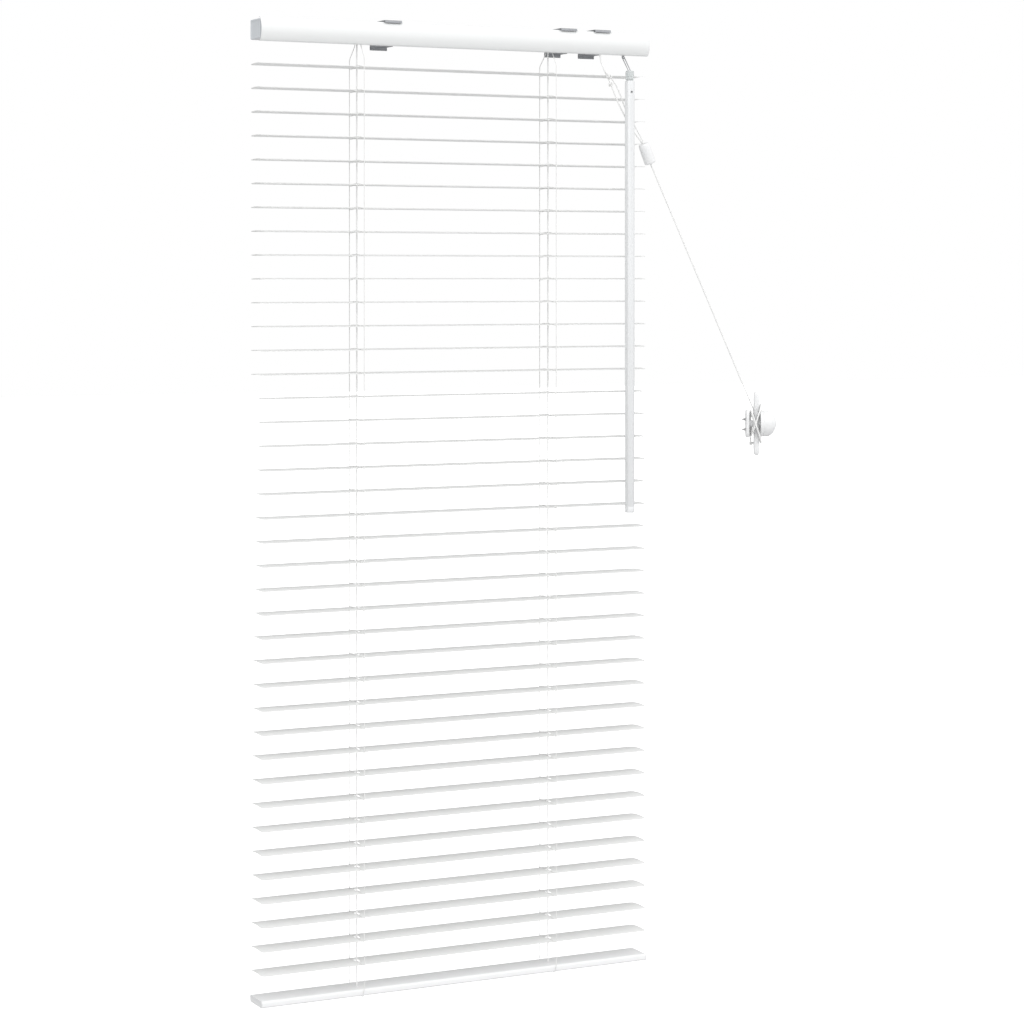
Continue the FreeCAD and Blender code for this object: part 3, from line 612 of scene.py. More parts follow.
BRACKET_STEEL = plated("bracket_steel", (0.42, 0.43, 0.45), 0.42, (0.75, 0.76, 0.78))
WIRE_STEEL = plated("wire_steel", (0.55, 0.56, 0.58), 0.28, (0.8, 0.8, 0.82))
SCREW_STEEL = plated("screw_steel", (0.6, 0.6, 0.6), 0.3, (0.85, 0.85, 0.86))
LADDER_THREAD = thread("ladder_thread", (0.86, 0.86, 0.85))
CORD_THREAD = thread("cord_thread", (0.93, 0.93, 0.925))
print("finishes:", len(bpy.data.materials))

# %% [markdown]
# ## Pull cords and tie cord
# The two lift cords come down out of the lock side by side, each with an overhand knot, and
# run into the joiner. One tie cord leaves the joiner, runs straight to the cleat and is wound
# round it in figure-eights. A cord this thin is limp, so each follows one smooth curve. The
# plait is real relief: a flat tube with a printed pattern would look like wire up close.

# %% Routes of the free cords, in millimetres
FRONT_ROUTE = [
    (148.4, -30.4, -5.0), (148.6, -30.6, -11.0), (149.6, -33.4, -19.0), (151.6, -35.7, -25.6),
    (156.7, -36.2, -30.4), (163.0, -36.2, -37.2), (167.8, -36.2, -47.0), (172.5, -36.2, -59.0),
    (178.0, -36.4, -68.4), (183.0, -37.2, -76.4), (187.6, -38.8, -85.0), (190.9, -40.5, -92.6),
    (192.8, -40.8, -98.5),
]
REAR_ROUTE = [
    (149.8, -28.4, -5.0), (149.9, -28.8, -11.0), (150.6, -32.2, -19.2), (152.8, -35.0, -27.4),
    (158.2, -35.2, -37.4), (161.8, -35.2, -46.0), (167.4, -35.2, -57.4), (172.7, -35.2, -66.6),
    (177.6, -35.4, -75.0), (182.6, -36.2, -82.6), (187.4, -37.8, -89.0), (191.2, -38.9, -94.6),
    (193.2, -39.2, -99.5),
]
TIE_ROUTE = [(198.7, -39.45, -111.7), (318.8, -29.9, -348.0), (322.6, -29.6, -355.5)]
KNOT_POINT = 4               # both pull cords are knotted at this point of their route
CORD_STEP = 0.25 * MM        # from one ring of a free cord to the next
PLAIT = 1.1 * MM             # length of one turn of its plait
KNOT_STEPS = 72
KNOT_CORD = 0.62 * MM        # radius of the cord where a knot pulls it thin


def smooth_line(name, route):
    """The points of one smooth open spline whose control points are the route, in mm."""
    data = bpy.data.curves.new(name + "_route", "CURVE")
    data.dimensions = "3D"
    data.resolution_u = 12
    spline = data.splines.new("NURBS")
    spline.points.add(len(route) - 1)
    for point, spot in zip(spline.points, route):
        point.co = (*(Vector(spot) * MM), 1)
    spline.order_u = 3
    spline.use_endpoint_u = True
    holder = bpy.data.objects.new(name + "_route", data)
    mesh = bpy.data.meshes.new_from_object(holder)
    line = [v.co.copy() for v in mesh.vertices]
    bpy.data.meshes.remove(mesh)
    bpy.data.curves.remove(data)
    return line


def line_length(line):
    return float(np.linalg.norm(np.diff(line, axis=0), axis=1).sum())


def overhand_knot(name, spot, heading, size=0.72 * MM):
    """A small trefoil pulled snug, its axis along the cord."""
    turn = Vector(heading).to_track_quat("Z", "Y")
    line = []
    for k in range(KNOT_STEPS):
        t = 2 * math.pi * k / KNOT_STEPS
        loop = Vector((math.sin(t) + 2 * math.sin(2 * t), math.cos(t) - 2 * math.cos(2 * t),
                       -1.6 * math.sin(3 * t)))
        line.append(Vector(spot) + turn @ (loop * size))
    return sweep(name, line, KNOT_CORD, 12, CORD_THREAD, closed=True)


print("route points:", len(FRONT_ROUTE), len(REAR_ROUTE), len(TIE_ROUTE))


# %% The cleat's own directions: out from its base, sideways, and up
CLEAT_OUT = -Vector(mounts["cleat_base"]["axis"])
CLEAT_SIDE = Vector((-CLEAT_OUT.y, CLEAT_OUT.x, 0))
BASE_BACK = -10.5            # the base's back face, behind the horns' middle
cleat_low, cleat_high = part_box("cord_cleat")
cleat_middle = Vector(mounts["cleat_base"]["pos_m"]) - CLEAT_OUT * BASE_BACK * MM
cleat_middle.z = (cleat_low.z + cleat_high.z) / 2


def on_cleat(out, side, up):
    """A place given in millimetres in the cleat's own directions."""
    return cleat_middle + (CLEAT_OUT * out + CLEAT_SIDE * side + Vector((0, 0, up))) * MM


def winding(turns):
    """Figure-eights: up over the front of one horn, down behind the other.

    Each crossing lies outside the one before it.
    """
    points = []
    for turn in range(turns):
        near = 6.8 + 1.45 * turn     # sideways from the middle
        high = 14.4 + 1.5 * turn     # up or down, where it lies over a horn's front
        low = 7.4 + 1.45 * turn      # up or down, where it passes behind a horn
        points += [
            (-5.2, 5.6 + 1.2 * turn, -low), (-5.4, -near, -low - 0.4),
            (4.5, -near - 0.2, high), (4.5, near, high),
            (3.4, near, 0), (4.5, near, -high),
            (4.5, -near - 0.75, -high - 0.75), (-5.4, -near - 0.75, low + 0.75),
            (-5.4, near + 0.7, low + 0.75),
        ]
    points += [(-5.6, 11.6, -4), (-5.8, 11.0, -10), (-5.2, 9.0, -15.5), (-4.6, 7.4, -20)]
    return [on_cleat(*p) / MM for p in points]


print("middle of the cleat:", [round(v, 4) for v in cleat_middle])


# %% The free cords
pull_cords = []
for side, route in (("front", FRONT_ROUTE), ("rear", REAR_ROUTE)):
    line = spaced(smooth_line(side, route), CORD_STEP)
    piece = sweep("pull_cord_" + side, line, CORD / 2, 18, CORD_THREAD, plait(PLAIT))
    spot = Vector(route[KNOT_POINT]) * MM
    nearest = min(range(len(line)), key=lambda k: (Vector(line[k]) - spot).length)
    heading = Vector(line[nearest + 4]) - Vector(line[nearest - 4])
    knot = overhand_knot("pull_cord_knot_" + side, line[nearest], heading)
    pull_cords.append((piece, knot, line, route))
    print(side, "pull cord:", round(line_length(line), 4), "m")

CLEAT_TURNS = 4
tie_line = spaced(smooth_line("tie", TIE_ROUTE + winding(CLEAT_TURNS)), CORD_STEP)
tie_cord = sweep("tie_cord_wound", tie_line, CORD / 2, 16, CORD_THREAD, plait(PLAIT))
tie_knot = overhand_knot("tie_cord_end_knot", tie_line[-1],
                         Vector(tie_line[-1]) - Vector(tie_line[-9]), 0.66 * MM)

# %% [markdown]
# ## Cord joiner
# The joiner is a moulded barrel: two cords are knotted inside it and one goes on. It could be
# a plain capsule, but the real one has a rounded shoulder with a hole for the cords, a parting
# groove where its halves snap together, and an open lower end with a visible wall.

# %% Cord joiner
joiner_low, joiner_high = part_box("cord_joiner")
JOINER_AXIS = Vector((8, 0.6, -19.1)).normalized()
JOINER_LENGTH = 20.5
JOINER_TOP = (joiner_low + joiner_high) / 2 - JOINER_AXIS * JOINER_LENGTH * MM / 2
joiner = turned("cord_joiner_barrel", [
    (0.2, 1.5), (0, 2.0), (0.1, 3.6), (0.5, 4.6), (1.3, 5.2), (2.6, 5.45), (6.6, 5.5),
    (6.8, 5.25), (7.2, 5.25), (7.4, 5.5), (18.6, 5.5), (19.8, 5.35), (20.3, 5.0), (20.5, 4.5),
    (20.2, 3.8), (19.4, 3.6), (2.6, 3.5), (2.2, 1.5),
], JOINER_TOP, JOINER_AXIS, WHITE_PLASTIC, closed=True)
inner_knot = overhand_knot("joiner_inner_knot", JOINER_TOP + JOINER_AXIS * 15 * MM, JOINER_AXIS)
tell("cord_joiner")

# %% [markdown]
# ## Attaching the cords
# Every free cord rides on the headrail, and so do its knots and the joiner. The frame's own
# cord parts are hidden.

for piece, knot, line, route in pull_cords:
    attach(piece, "headrail")
    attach(knot, "headrail")
    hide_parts("pull_cords")
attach(joiner, "headrail")
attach(inner_knot, "headrail")
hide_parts("cord_joiner")
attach(tie_cord, "headrail")
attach(tie_knot, "headrail")
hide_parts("tie_cord")
print("cords declared:", len(pull_cords) + 1)

# %% [markdown]
# ## Slats
# A slat is a strip of thin aluminium, rolled to a shallow arch so that it stays straight, with
# round corners and a slot for each lift cord. It is made as the factory makes it: the flat
# outline is cut first, scored into narrow bands, then rolled to the arch and given its gauge.
# All the slats share that one mesh, and each rides on its own body.

# %% One slat
SLAT_GAUGE = 0.25 * MM
SLAT_RISE = 1 * MM
SLAT_CORNER = 4 * MM
SLOT_SIZE = (4 * MM, 9 * MM)
BANDS = 28                   # the flat blank is scored into this many bands
SLAT_CRISP = 40              # degrees
ARCH_RADIUS = (SLAT_WIDTH ** 2 / 4 + SLAT_RISE ** 2) / (2 * SLAT_RISE)


def flat_blank(bm, outlines):
    """Fill an outline that has holes."""
    for outline in outlines:
        ring = [bm.verts.new((p[0], p[1], 0)) for p in outline]
        for a, b in zip(ring, ring[1:] + ring[:1]):
            bm.edges.new((a, b))
    bmesh.ops.triangle_fill(bm, use_beauty=True, edges=bm.edges[:])


def slat_mesh():
    """Cut the flat blank, score it, roll it to the arch and give it its gauge."""
    bm = bmesh.new()
    slots = []
    for side in (-1, 1):
        slot = rounded_box(*SLOT_SIZE, SLOT_SIZE[0] / 2 * 0.999)
        slots.append([p + Vector((side * LADDER_X, 0)) for p in slot])
    flat_blank(bm, [rounded_box(SLAT_LENGTH, SLAT_WIDTH, SLAT_CORNER, 8), *slots])
    for band in range(1, BANDS):
        level = SLAT_WIDTH * (band / BANDS - 0.5)
        bmesh.ops.bisect_plane(bm, geom=bm.verts[:] + bm.edges[:] + bm.faces[:], dist=1e-7,
                               plane_co=(0, level, 0), plane_no=(0, 1, 0))
    for vert in bm.verts:
        vert.co.z = math.sqrt(ARCH_RADIUS ** 2 - vert.co.y ** 2) - ARCH_RADIUS
    mesh = bpy.data.meshes.new("slat")
    bm.to_mesh(mesh)
    bm.free()
    blank = link(bpy.data.objects.new("slat_blank", mesh))
    bpy.context.view_layer.update()
    if sum(f.normal.z for f in mesh.polygons) < 0:
        mesh.flip_normals()
    thick = blank.modifiers.new("gauge", "SOLIDIFY")
    thick.thickness = SLAT_GAUGE
    thick.offset = -1
    bpy.context.view_layer.update()
    apply_modifiers(blank)
    made = blank.data
    made.shade_smooth()
    made.set_sharp_from_angle(angle=math.radians(SLAT_CRISP))
    made.materials.append(SLAT_ENAMEL)
    bpy.data.objects.remove(blank)
    return made


shared_slat = slat_mesh()
for name, centre in zip(SLATS, slat_pivots):
    slat = link(bpy.data.objects.new(name + "_rolled", shared_slat))
    slat.location = centre
    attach(slat, name)
    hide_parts(name)
print("slats:", len(SLATS), "of", len(shared_slat.vertices), "points each")

# %% [markdown]
# ## Ladders
# Each ladder is two twisted strings with pairs of rungs between them. A slat is threaded
# between the two rungs of a pair: one runs under it and one over it, which is why it can't
# slide out. The rungs ride on their slat. The strings only shift, so they ride on the ladder
# bodies, and their heads run from the headrail down to the top slat.

# %% Rungs
RUNG = 0.5 * MM
RUNG_SPREAD = 1.3 * MM       # the lower and the upper rung lie side by side
RUNG_STEPS = 7               # points from the slat's middle to its edge


def rung_line(over, x):
    """One rung: from the front string round the slat's edges to the rear string."""
    half = SLAT_WIDTH / 2
    front = FRONT_Y - MIDDLE_Y
    rear = REAR_Y - MIDDLE_Y
    line = [Vector((x, front, -RUNG_DROP))]
    for k in range(2 * RUNG_STEPS + 1):
        y = half * (k / RUNG_STEPS - 1)
        surface = math.sqrt(ARCH_RADIUS ** 2 - y ** 2) - ARCH_RADIUS
        if over:
            line.append(Vector((x, y, surface + 0.3 * MM)))
        else:
            line.append(Vector((x, y, min(surface, -SLAT_RISE * 0.55) - SLAT_GAUGE - 0.32 * MM)))
    line.append(Vector((x, rear, -RUNG_DROP)))
    return line


rungs = []
for side in (-1, 1):
    for over, shift in ((False, RUNG_SPREAD), (True, -RUNG_SPREAD)):
        line = rung_line(over, side * LADDER_X + shift)
        line[0].x = line[-1].x = side * LADDER_X
        rungs.append(sweep("rung", spaced(line, 0.5 * MM), RUNG / 2, 8, LADDER_THREAD,
                           twist(1.6 * MM, 2)))
rung_set = join("rung_set", *rungs)
shared_rungs = rung_set.data
bpy.data.objects.remove(rung_set)
for name, centre in zip(SLATS, slat_pivots):
    pair = link(bpy.data.objects.new("ladder_rungs_" + name[-2:], shared_rungs))
    pair.location = centre
    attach(pair, name)
print("rungs:", 4 * len(SLATS))


# %% Strings, with a stitched knot at each rung
rung_levels = [centre.z - RUNG_DROP for centre in slat_pivots]
string_end = rail_pivot.z - RUNG_DROP
YARN_LAY = 4.2 * MM          # length of one turn of the twisted strings


def knotted(top):
    """Twisted yarn that swells where a rung is stitched in."""
    yarn = twist(YARN_LAY)
    levels = np.array([top - level for level in rung_levels + [string_end]])

    def relief(along, angle):
        gap = np.abs(along - levels[None, :]).min(axis=1)[:, None]
        return yarn(along, angle) * (1 + 0.45 * np.exp(-(gap / (0.9 * MM)) ** 2))
    return relief


for row, y in (("front", FRONT_Y), ("rear", REAR_Y)):
    for side, x in (("left", -LADDER_X), ("right", LADDER_X)):
        top = rung_levels[0]
        line = spaced([(x, y, top), (x, y, string_end)], 0.5 * MM)
        string = sweep("ladder_string_%s_%s" % (row, side), line, STRING / 2, 8, LADDER_THREAD,
                       knotted(top))
        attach(string, "ladder_" + row)
        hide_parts("ladder_cords_" + row)
tell("ladder_string")

# %% String heads, from the drum down to the first rung
channel_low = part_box("headrail_channel")[0]
rod = pivot("tilt_turn")
DRUM_REACH = 6.1 * MM        # from the rod to a string at the side of its drum
for row, way, y in (("front", -1, FRONT_Y), ("rear", 1, REAR_Y)):
    for side, x in (("left", -LADDER_X), ("right", LADDER_X)):
        leave = Vector((x, ROD_Y + way * DRUM_REACH, channel_low.z - 1.5 * MM))
        route = [
            (x, leave.y, rod.z), (x, leave.y, (rod.z + leave.z) / 2), leave,
            (x, (leave.y + 1.5 * y) / 2.5, -16 * MM), (x, y, -20.5 * MM),
            (x, y, -25 * MM), (x, y, rung_levels[0]),
        ]
        line = spaced(smooth_line("head", [Vector(p) / MM for p in route]), 0.4 * MM)
        head = sweep("ladder_head_%s_%s" % (row, side), line, STRING / 2, 8, LADDER_THREAD,
                     twist(YARN_LAY))
        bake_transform(head)
tell("ladder_head")

# %% String tails, round the bottom rail to its plugs
for row, way, y in (("front", -1, FRONT_Y), ("rear", 1, REAR_Y)):
    for side, x in (("left", -LADDER_X), ("right", LADDER_X)):
        face = MIDDLE_Y + way * (SLAT_WIDTH / 2 + 0.55 * MM)
        under = rail_low.z + 0.45 * MM
        route = [
            (x, y, string_end), (x, face + way * 0.9 * MM, string_end - 1.5 * MM),
            (x, face, string_end - 3.4 * MM), (x, face, under + 2 * MM), (x, face, under),
            (x, face - way * 2.5 * MM, under), (x, MIDDLE_Y + way * 8 * MM, under),
            (x, MIDDLE_Y + way * 3.2 * MM, under),
        ]
        line = spaced(smooth_line("tail", [Vector(p) / MM for p in route]), 0.4 * MM)
        tail = sweep("ladder_tail_%s_%s" % (row, side), line, STRING / 2, 8, LADDER_THREAD,
                     twist(YARN_LAY))
        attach(tail, "bottom_rail")
tell("ladder_tail")

# %% [markdown]
# ## Lift cords
# A lift cord is knotted under the bottom rail, rises through the slats' slots, turns over the
# edge of its cradle and runs along the headrail's floor to the lock. It rides on the headrail
# and stays still while the slats tilt; its last few millimetres are a separate piece.

# %% Lift cords
lock_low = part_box("cord_lock")[0]
floor_z = channel_low.z + 1.45 * MM
bend_start = rail_pivot.z + 7 * MM   # below this a lift cord is a separate piece
LIFT_PLAIT = 1.6 * MM
for side, x, shift in (("left", -LADDER_X, -1.4 * MM), ("right", LADDER_X, 1.4 * MM)):
    gather = Vector((lock_low.x + 1 * MM, ROD_Y + shift - 4.2 * MM, floor_z))
    route = [
        (x, MIDDLE_Y, bend_start), (x, MIDDLE_Y, -30 * MM), (x, MIDDLE_Y, floor_z - 3.6 * MM),
        (x, MIDDLE_Y, floor_z), (x + 3.6 * MM, MIDDLE_Y, floor_z), (x + 12 * MM, MIDDLE_Y, floor_z),
        gather,
    ]
    line = spaced(smooth_line("lift", [Vector(p) / MM for p in route]), 0.4 * MM)
    cord = sweep("lift_cord_" + side, line, CORD / 2, 12, CORD_THREAD, plait(LIFT_PLAIT))
    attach(cord, "headrail")
    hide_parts("lift_cords")
    end = Vector((x, MIDDLE_Y, rail_pivot.z - 4 * MM))
    line = spaced([(x, MIDDLE_Y, bend_start + 0.2 * MM), end], 0.4 * MM)
    tail = sweep("lift_cord_tail_" + side, line, CORD / 2, 12, CORD_THREAD, plait(LIFT_PLAIT))
    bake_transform(tail)
tell("lift_cord_")

# %% [markdown]
# ## Headrail
# The headrail is a channel of painted steel with its lips rolled inwards, closed by moulded
# caps. Its openings are in the right places already, so the channel stays as it is, with its
# edges softened. The valance in front is its own strip, arched in section, with both edges
# folded back to clip over the channel, so it is folded here from one path of that section.

# %% Channel and the parts in it
for name, width, material in (
        ("headrail_channel", 0.25 * MM, CHANNEL_ENAMEL), ("ladder_cradles", 0.3 * MM, NYLON),
        ("tilter_housing", 0.5 * MM, INNER_PLASTIC), ("cord_lock", 0.4 * MM, INNER_PLASTIC),
        ("cord_lock_roller", 0.15 * MM, WIRE_STEEL), ("tilt_rod", 0.2 * MM, WIRE_STEEL)):
    kept = frame["nodes"][name]
    for slot in kept.material_slots:
        slot.material = material
    round_edges(kept, width)
tell("headrail")

# %% Valance
valance_low, valance_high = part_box("headrail_valance")
VALANCE_GAUGE = 0.6 * MM
VALANCE_BULGE = 3.8 * MM
ARCH_STEPS = 12
half = (valance_high.z - valance_low.z) / 2
centre_z = (valance_high.z + valance_low.z) / 2
arch = (half ** 2 + VALANCE_BULGE ** 2) / (2 * VALANCE_BULGE)
arch_angle = math.asin((half - 1.1 * MM) / arch)
front_y = valance_low.y + VALANCE_GAUGE / 2
fold_y = valance_low.y + VALANCE_BULGE + 0.5 * MM
lower_z = valance_low.z + VALANCE_GAUGE / 2
upper_z = valance_high.z - VALANCE_GAUGE / 2
section = [Vector((valance_high.y, lower_z)), Vector((fold_y, lower_z))]
for k in range(2 * ARCH_STEPS + 1):
    angle = arch_angle * (k / ARCH_STEPS - 1)
    section.append(Vector((front_y + arch * (1 - math.cos(angle)),
                           centre_z + arch * math.sin(angle))))
section += [Vector((fold_y, upper_z)), Vector((valance_high.y, upper_z))]
valance = extruded("valance_strip", folded(bent(section, 0.9 * MM, 3), VALANCE_GAUGE),
                   valance_low.x, valance_high.x, VALANCE_ENAMEL)
round_edges(valance, 0.12 * MM, 1, 60)
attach(valance, "headrail")
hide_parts("headrail_valance")
tell("valance")

# %% End caps: a plate with a raised rim, and a collar that plugs the channel
cap_low, cap_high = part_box("end_caps")
depth = cap_high.y - cap_low.y
height = cap_high.z - cap_low.z
CAP_PLATE = 1.5              # thickness of the plate, in millimetres
COLLAR = CAP_PLATE + 4       # the inner end of the collar


def capped(name, way):
    """One end cap, lofted from the middle of its face round its rim to its collar."""
    outer = cap_high.x if way > 0 else cap_low.x
    middle = Vector(((cap_low.y + cap_high.y) / 2, (cap_low.z + cap_high.z) / 2))

    def ring(distance, inset, corner):
        x = outer - way * distance * MM
        outline = rounded_box(depth - 2 * inset * MM, height - 2 * inset * MM, corner * MM)
        return [Vector((x, *(p + middle))) for p in outline]

    rings = [
        ring(0.5, 2.2, 0.7), ring(0.45, 1.8, 0.8), ring(0.05, 1.4, 0.9), ring(0, 1.1, 1),
        ring(0.05, 0.3, 1.2), ring(0.4, 0, 1.3), ring(CAP_PLATE, 0, 1.3),
        ring(CAP_PLATE, 0.75, 0.8), ring(COLLAR, 0.85, 0.8), ring(COLLAR, 1.7, 0.5),
        ring(CAP_PLATE + 0.3, 1.7, 0.5),
    ]
    return loft(name, rings, CAP_PLASTIC)


for side, way in (("left", -1), ("right", 1)):
    cap = capped("end_cap_" + side, way)
    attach(cap, "headrail")
    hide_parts("end_caps")
tell("end_cap_")

# %% [markdown]
# ## Mounting brackets
# A bracket is one strap of plated steel: it runs up the wall, turns forward over the headrail
# and hooks over its front, and a tab pressed out below carries the headrail's back. Bent steel
# never has a sharp corner, so the strap is folded round a radius and then drilled.

# %% Brackets
bracket_low, bracket_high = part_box("mounting_brackets")
BRACKET_GAUGE = 1.2 * MM
BRACKET_WIDTH = 17 * MM
LIP_DROP = 2.4 * MM          # how far the front lip hangs down
FOOT_REACH = 15 * MM
wall_holes = {name.removeprefix("wall_hole_"): Vector(mount["pos_m"])
              for name, mount in mounts.items() if name.startswith("wall_hole_")}
ceiling_y = mounts["ceiling_hole_left"]["pos_m"][1]
HOLE_RADIUS = mounts["wall_hole_left"]["dims"]["r_mm"]
middle_gauge = BRACKET_GAUGE / 2
strap_path = bent([
    Vector((-middle_gauge, bracket_low.z)), Vector((-middle_gauge, bracket_high.z - middle_gauge)),
    Vector((bracket_low.y + middle_gauge, bracket_high.z - middle_gauge)),
    Vector((bracket_low.y + middle_gauge, bracket_high.z - LIP_DROP)),
], 1.3 * MM)
foot_z = channel_low.z - 0.2 * MM - middle_gauge
foot_path = bent([
    Vector((-middle_gauge * 1.2, foot_z - 3.6 * MM)), Vector((-middle_gauge * 1.2, foot_z)),
    Vector((-FOOT_REACH, foot_z)),
], 1.2 * MM)
for side, hole in wall_holes.items():
    left = hole.x - BRACKET_WIDTH / 2
    right = hole.x + BRACKET_WIDTH / 2
    strap = extruded("bracket_strap", folded(strap_path, BRACKET_GAUGE), left, right,
                     BRACKET_STEEL)
    drill(strap,
          cutter(HOLE_RADIUS, 3, (hole.x, 0, hole.z), (0, 1, 0), BRACKET_STEEL),
          cutter(HOLE_RADIUS, 3, (hole.x, ceiling_y, bracket_high.z), (0, 0, 1), BRACKET_STEEL))
    foot = extruded("bracket_foot", folded(foot_path, BRACKET_GAUGE), left, right, BRACKET_STEEL)
    bracket = round_edges(join("bracket_" + side, strap, foot), 0.18 * MM, 2, 50)
    bracket.data.shade_smooth()
    bracket.data.set_sharp_from_angle(angle=math.radians(CRISP))
    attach(bracket, "headrail")
    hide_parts("mounting_brackets")
print("brackets:", sorted(wall_holes))

# %% [markdown]
# ## Tilter and wand
# The wand hangs from a wire link under the tilter's worm. The worm is real relief, a thread
# that winds round it. The link is one bent wire, which the eye on the worm's stem and a pin in
# the clear connector hold. The wand is drawn plastic with six soft corners.

# %% Worm with its eye
worm_low, worm_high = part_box("tilter_worm")
worm = pivot("worm_turn")
hook_bottom = pivot("hook_turn")
hook_top = Vector((worm.x, worm.y, worm_low.z - 1.4 * MM))
THREAD_PITCH = 3.14 * MM
BARREL = 10 * MM             # length of the threaded part


def worm_relief(along, angle):
    """A stem, then a barrel with one helical thread."""
    stem = worm_high.z - BARREL - worm_low.z
    thread_wave = 0.5 + 0.5 * np.cos(angle - 2 * math.pi * along / THREAD_PITCH)
    barrel = 1 - 0.3 * (1 - thread_wave) ** 2
    return np.where(along < stem, 0.5, barrel)


worm_line = spaced([(worm.x, worm.y, worm_low.z), (worm.x, worm.y, worm_high.z)], 0.25 * MM)
worm_piece = sweep("tilter_worm_thread", worm_line, 3 * MM, 24, NYLON, worm_relief)
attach(worm_piece, "tilter_worm")
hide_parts("tilter_worm")
eye_line = [hook_top + Vector((0, math.cos(a), math.sin(a))) * 1.5 * MM
            for a in np.arange(32) * 2 * math.pi / 32]
eye = sweep("worm_eye", eye_line, 0.5 * MM, 12, WIRE_STEEL, closed=True)
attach(eye, "tilter_worm")
tell("worm_eye")

# %% Wire link
link_axis = (hook_bottom - hook_top).normalized()
link_side = Vector((1, 0, 0))
LINK_HALF = 1.15 * MM        # half the width of the link
WIRE = 0.9 * MM
END_STEPS = 12

line = []  # two round ends, and the straight strands between them
for centre, start in ((hook_top, 0), (hook_bottom, math.pi)):
    for k in range(END_STEPS + 1):
        angle = start + math.pi * k / END_STEPS
        line.append(centre + link_side * math.cos(angle) * LINK_HALF
                    - link_axis * math.sin(angle) * LINK_HALF)
hook = sweep("wand_link", spaced(line + line[:1], 0.3 * MM)[:-1], WIRE / 2, 12, WIRE_STEEL,
             closed=True)
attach(hook, "wand_hook")
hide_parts("wand_hook")
tell("wand_link")

# %% Connector
connector_top = Vector((hook_bottom.x, hook_bottom.y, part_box("wand_connector")[1].z))
cup = turned("connector_cup", [
    (-17.4, 0), (-17.4, 2.2), (-17.1, 2.5), (-9, 2.5), (-8.9, 3.4), (-8.5, 3.9), (-8, 4.0),
    (-6.4, 4.0), (-6.1, 3.8), (-5.6, 3.8), (-5.3, 4.0), (-0.4, 4.0), (-0.1, 3.85), (0, 3.6),
    (-0.1, 3.2), (-0.5, 3.0), (-6.6, 2.9), (-7, 0),
], connector_top, (0, 0, 1), CLEAR_PLASTIC)
pin_z = hook_bottom.z - 0.1 * MM
pin = sweep("connector_pin", [(hook_bottom.x - 3.6 * MM, hook_bottom.y, pin_z),
                              (hook_bottom.x + 3.6 * MM, hook_bottom.y, pin_z)],
            0.5 * MM, 12, WIRE_STEEL)
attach(cup, "wand_connector")
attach(pin, "wand_connector")
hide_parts("wand_connector")
tell("connector_")

# %% Wand
wand_low, wand_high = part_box("tilt_wand")
WAND_CORNER = (wand_high.x - wand_low.x) / 2
FACET_TURN = 40              # degrees that the six faces are turned about the wand
SOCKET_DEPTH = 9.3 * MM
PIN_HOLE_DROP = 11.1 * MM    # from the wand's top to the hole for a pin
PIN_HOLE_RADIUS = 1.1        # in millimetres


def hexagon(scale, z):
    """A ring of a six-sided section with soft corners."""
    ring = []
    for corner in range(6):
        for k in range(-2, 3):
            angle = math.radians(60 * corner + 7 * k + FACET_TURN)
            reach = WAND_CORNER * math.cos(math.radians(30)) / math.cos(
                math.radians(30 - abs(7 * k)))
            soft = 0.965 + 0.035 * (abs(k) / 2) ** 0.6
            ring.append(Vector((hook_bottom.x + reach * soft * scale * math.cos(angle),
                                hook_bottom.y + reach * soft * scale * math.sin(angle), z)))
    return ring


wand_rings = [hexagon(0.56, wand_high.z - SOCKET_DEPTH), hexagon(0.58, wand_high.z)]
for scale, drop in ((0.8, 0), (0.94, 0.1), (1.0, 0.5)):
    wand_rings.append(hexagon(scale, wand_high.z - drop * MM))
wand_rings.append(hexagon(1.0, (wand_high.z + wand_low.z) / 2))
for scale, rise in ((1.0, 6.2), (0.97, 6.0), (0.97, 5.6), (1.0, 5.4), (1.0, 0.7), (0.95, 0.2),
                    (0.85, 0)):
    wand_rings.append(hexagon(scale, wand_low.z + rise * MM))
wand = loft("wand_bar", wand_rings, WAND_PLASTIC, 50)
drill(wand, cutter(PIN_HOLE_RADIUS, 8,
                   (hook_bottom.x, hook_bottom.y, wand_high.z - PIN_HOLE_DROP), (0, 1, 0),
                   WAND_PLASTIC))
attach(wand, "tilt_wand")
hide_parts("tilt_wand")
tell("wand_bar")

# %% [markdown]
# ## Cleat
# The cleat holds the cord: a pair of horns on a post, a base with two screws, and a domed cap
# in front. The horns are lofted, because they swell and then round off at the tips. The cap is
# turned, with rings on its face and a shallow dish behind.

# %% Horns, post and base
HORN_SHAPE = [  # distance from the middle, width and thickness
    (31.5, 3.4, 1.9), (31.2, 5.4, 3.2), (30.4, 7.2, 4.3), (28.6, 8.5, 5.1), (25, 9.0, 5.5),
    (17, 9.0, 5.5), (14.4, 8.6, 5.5), (12.6, 7.2, 5.5), (11, 7.0, 5.5), (0.01, 7.0, 5.5),
]


def horn_ring(up, width, thick):
    """One section of the horns, as far above or below the middle as up says."""
    outline = rounded_box(thick, width, min(1.7, thick * 0.42, width * 0.42), 4)
    return [on_cleat(p.x, p.y, up) for p in outline]


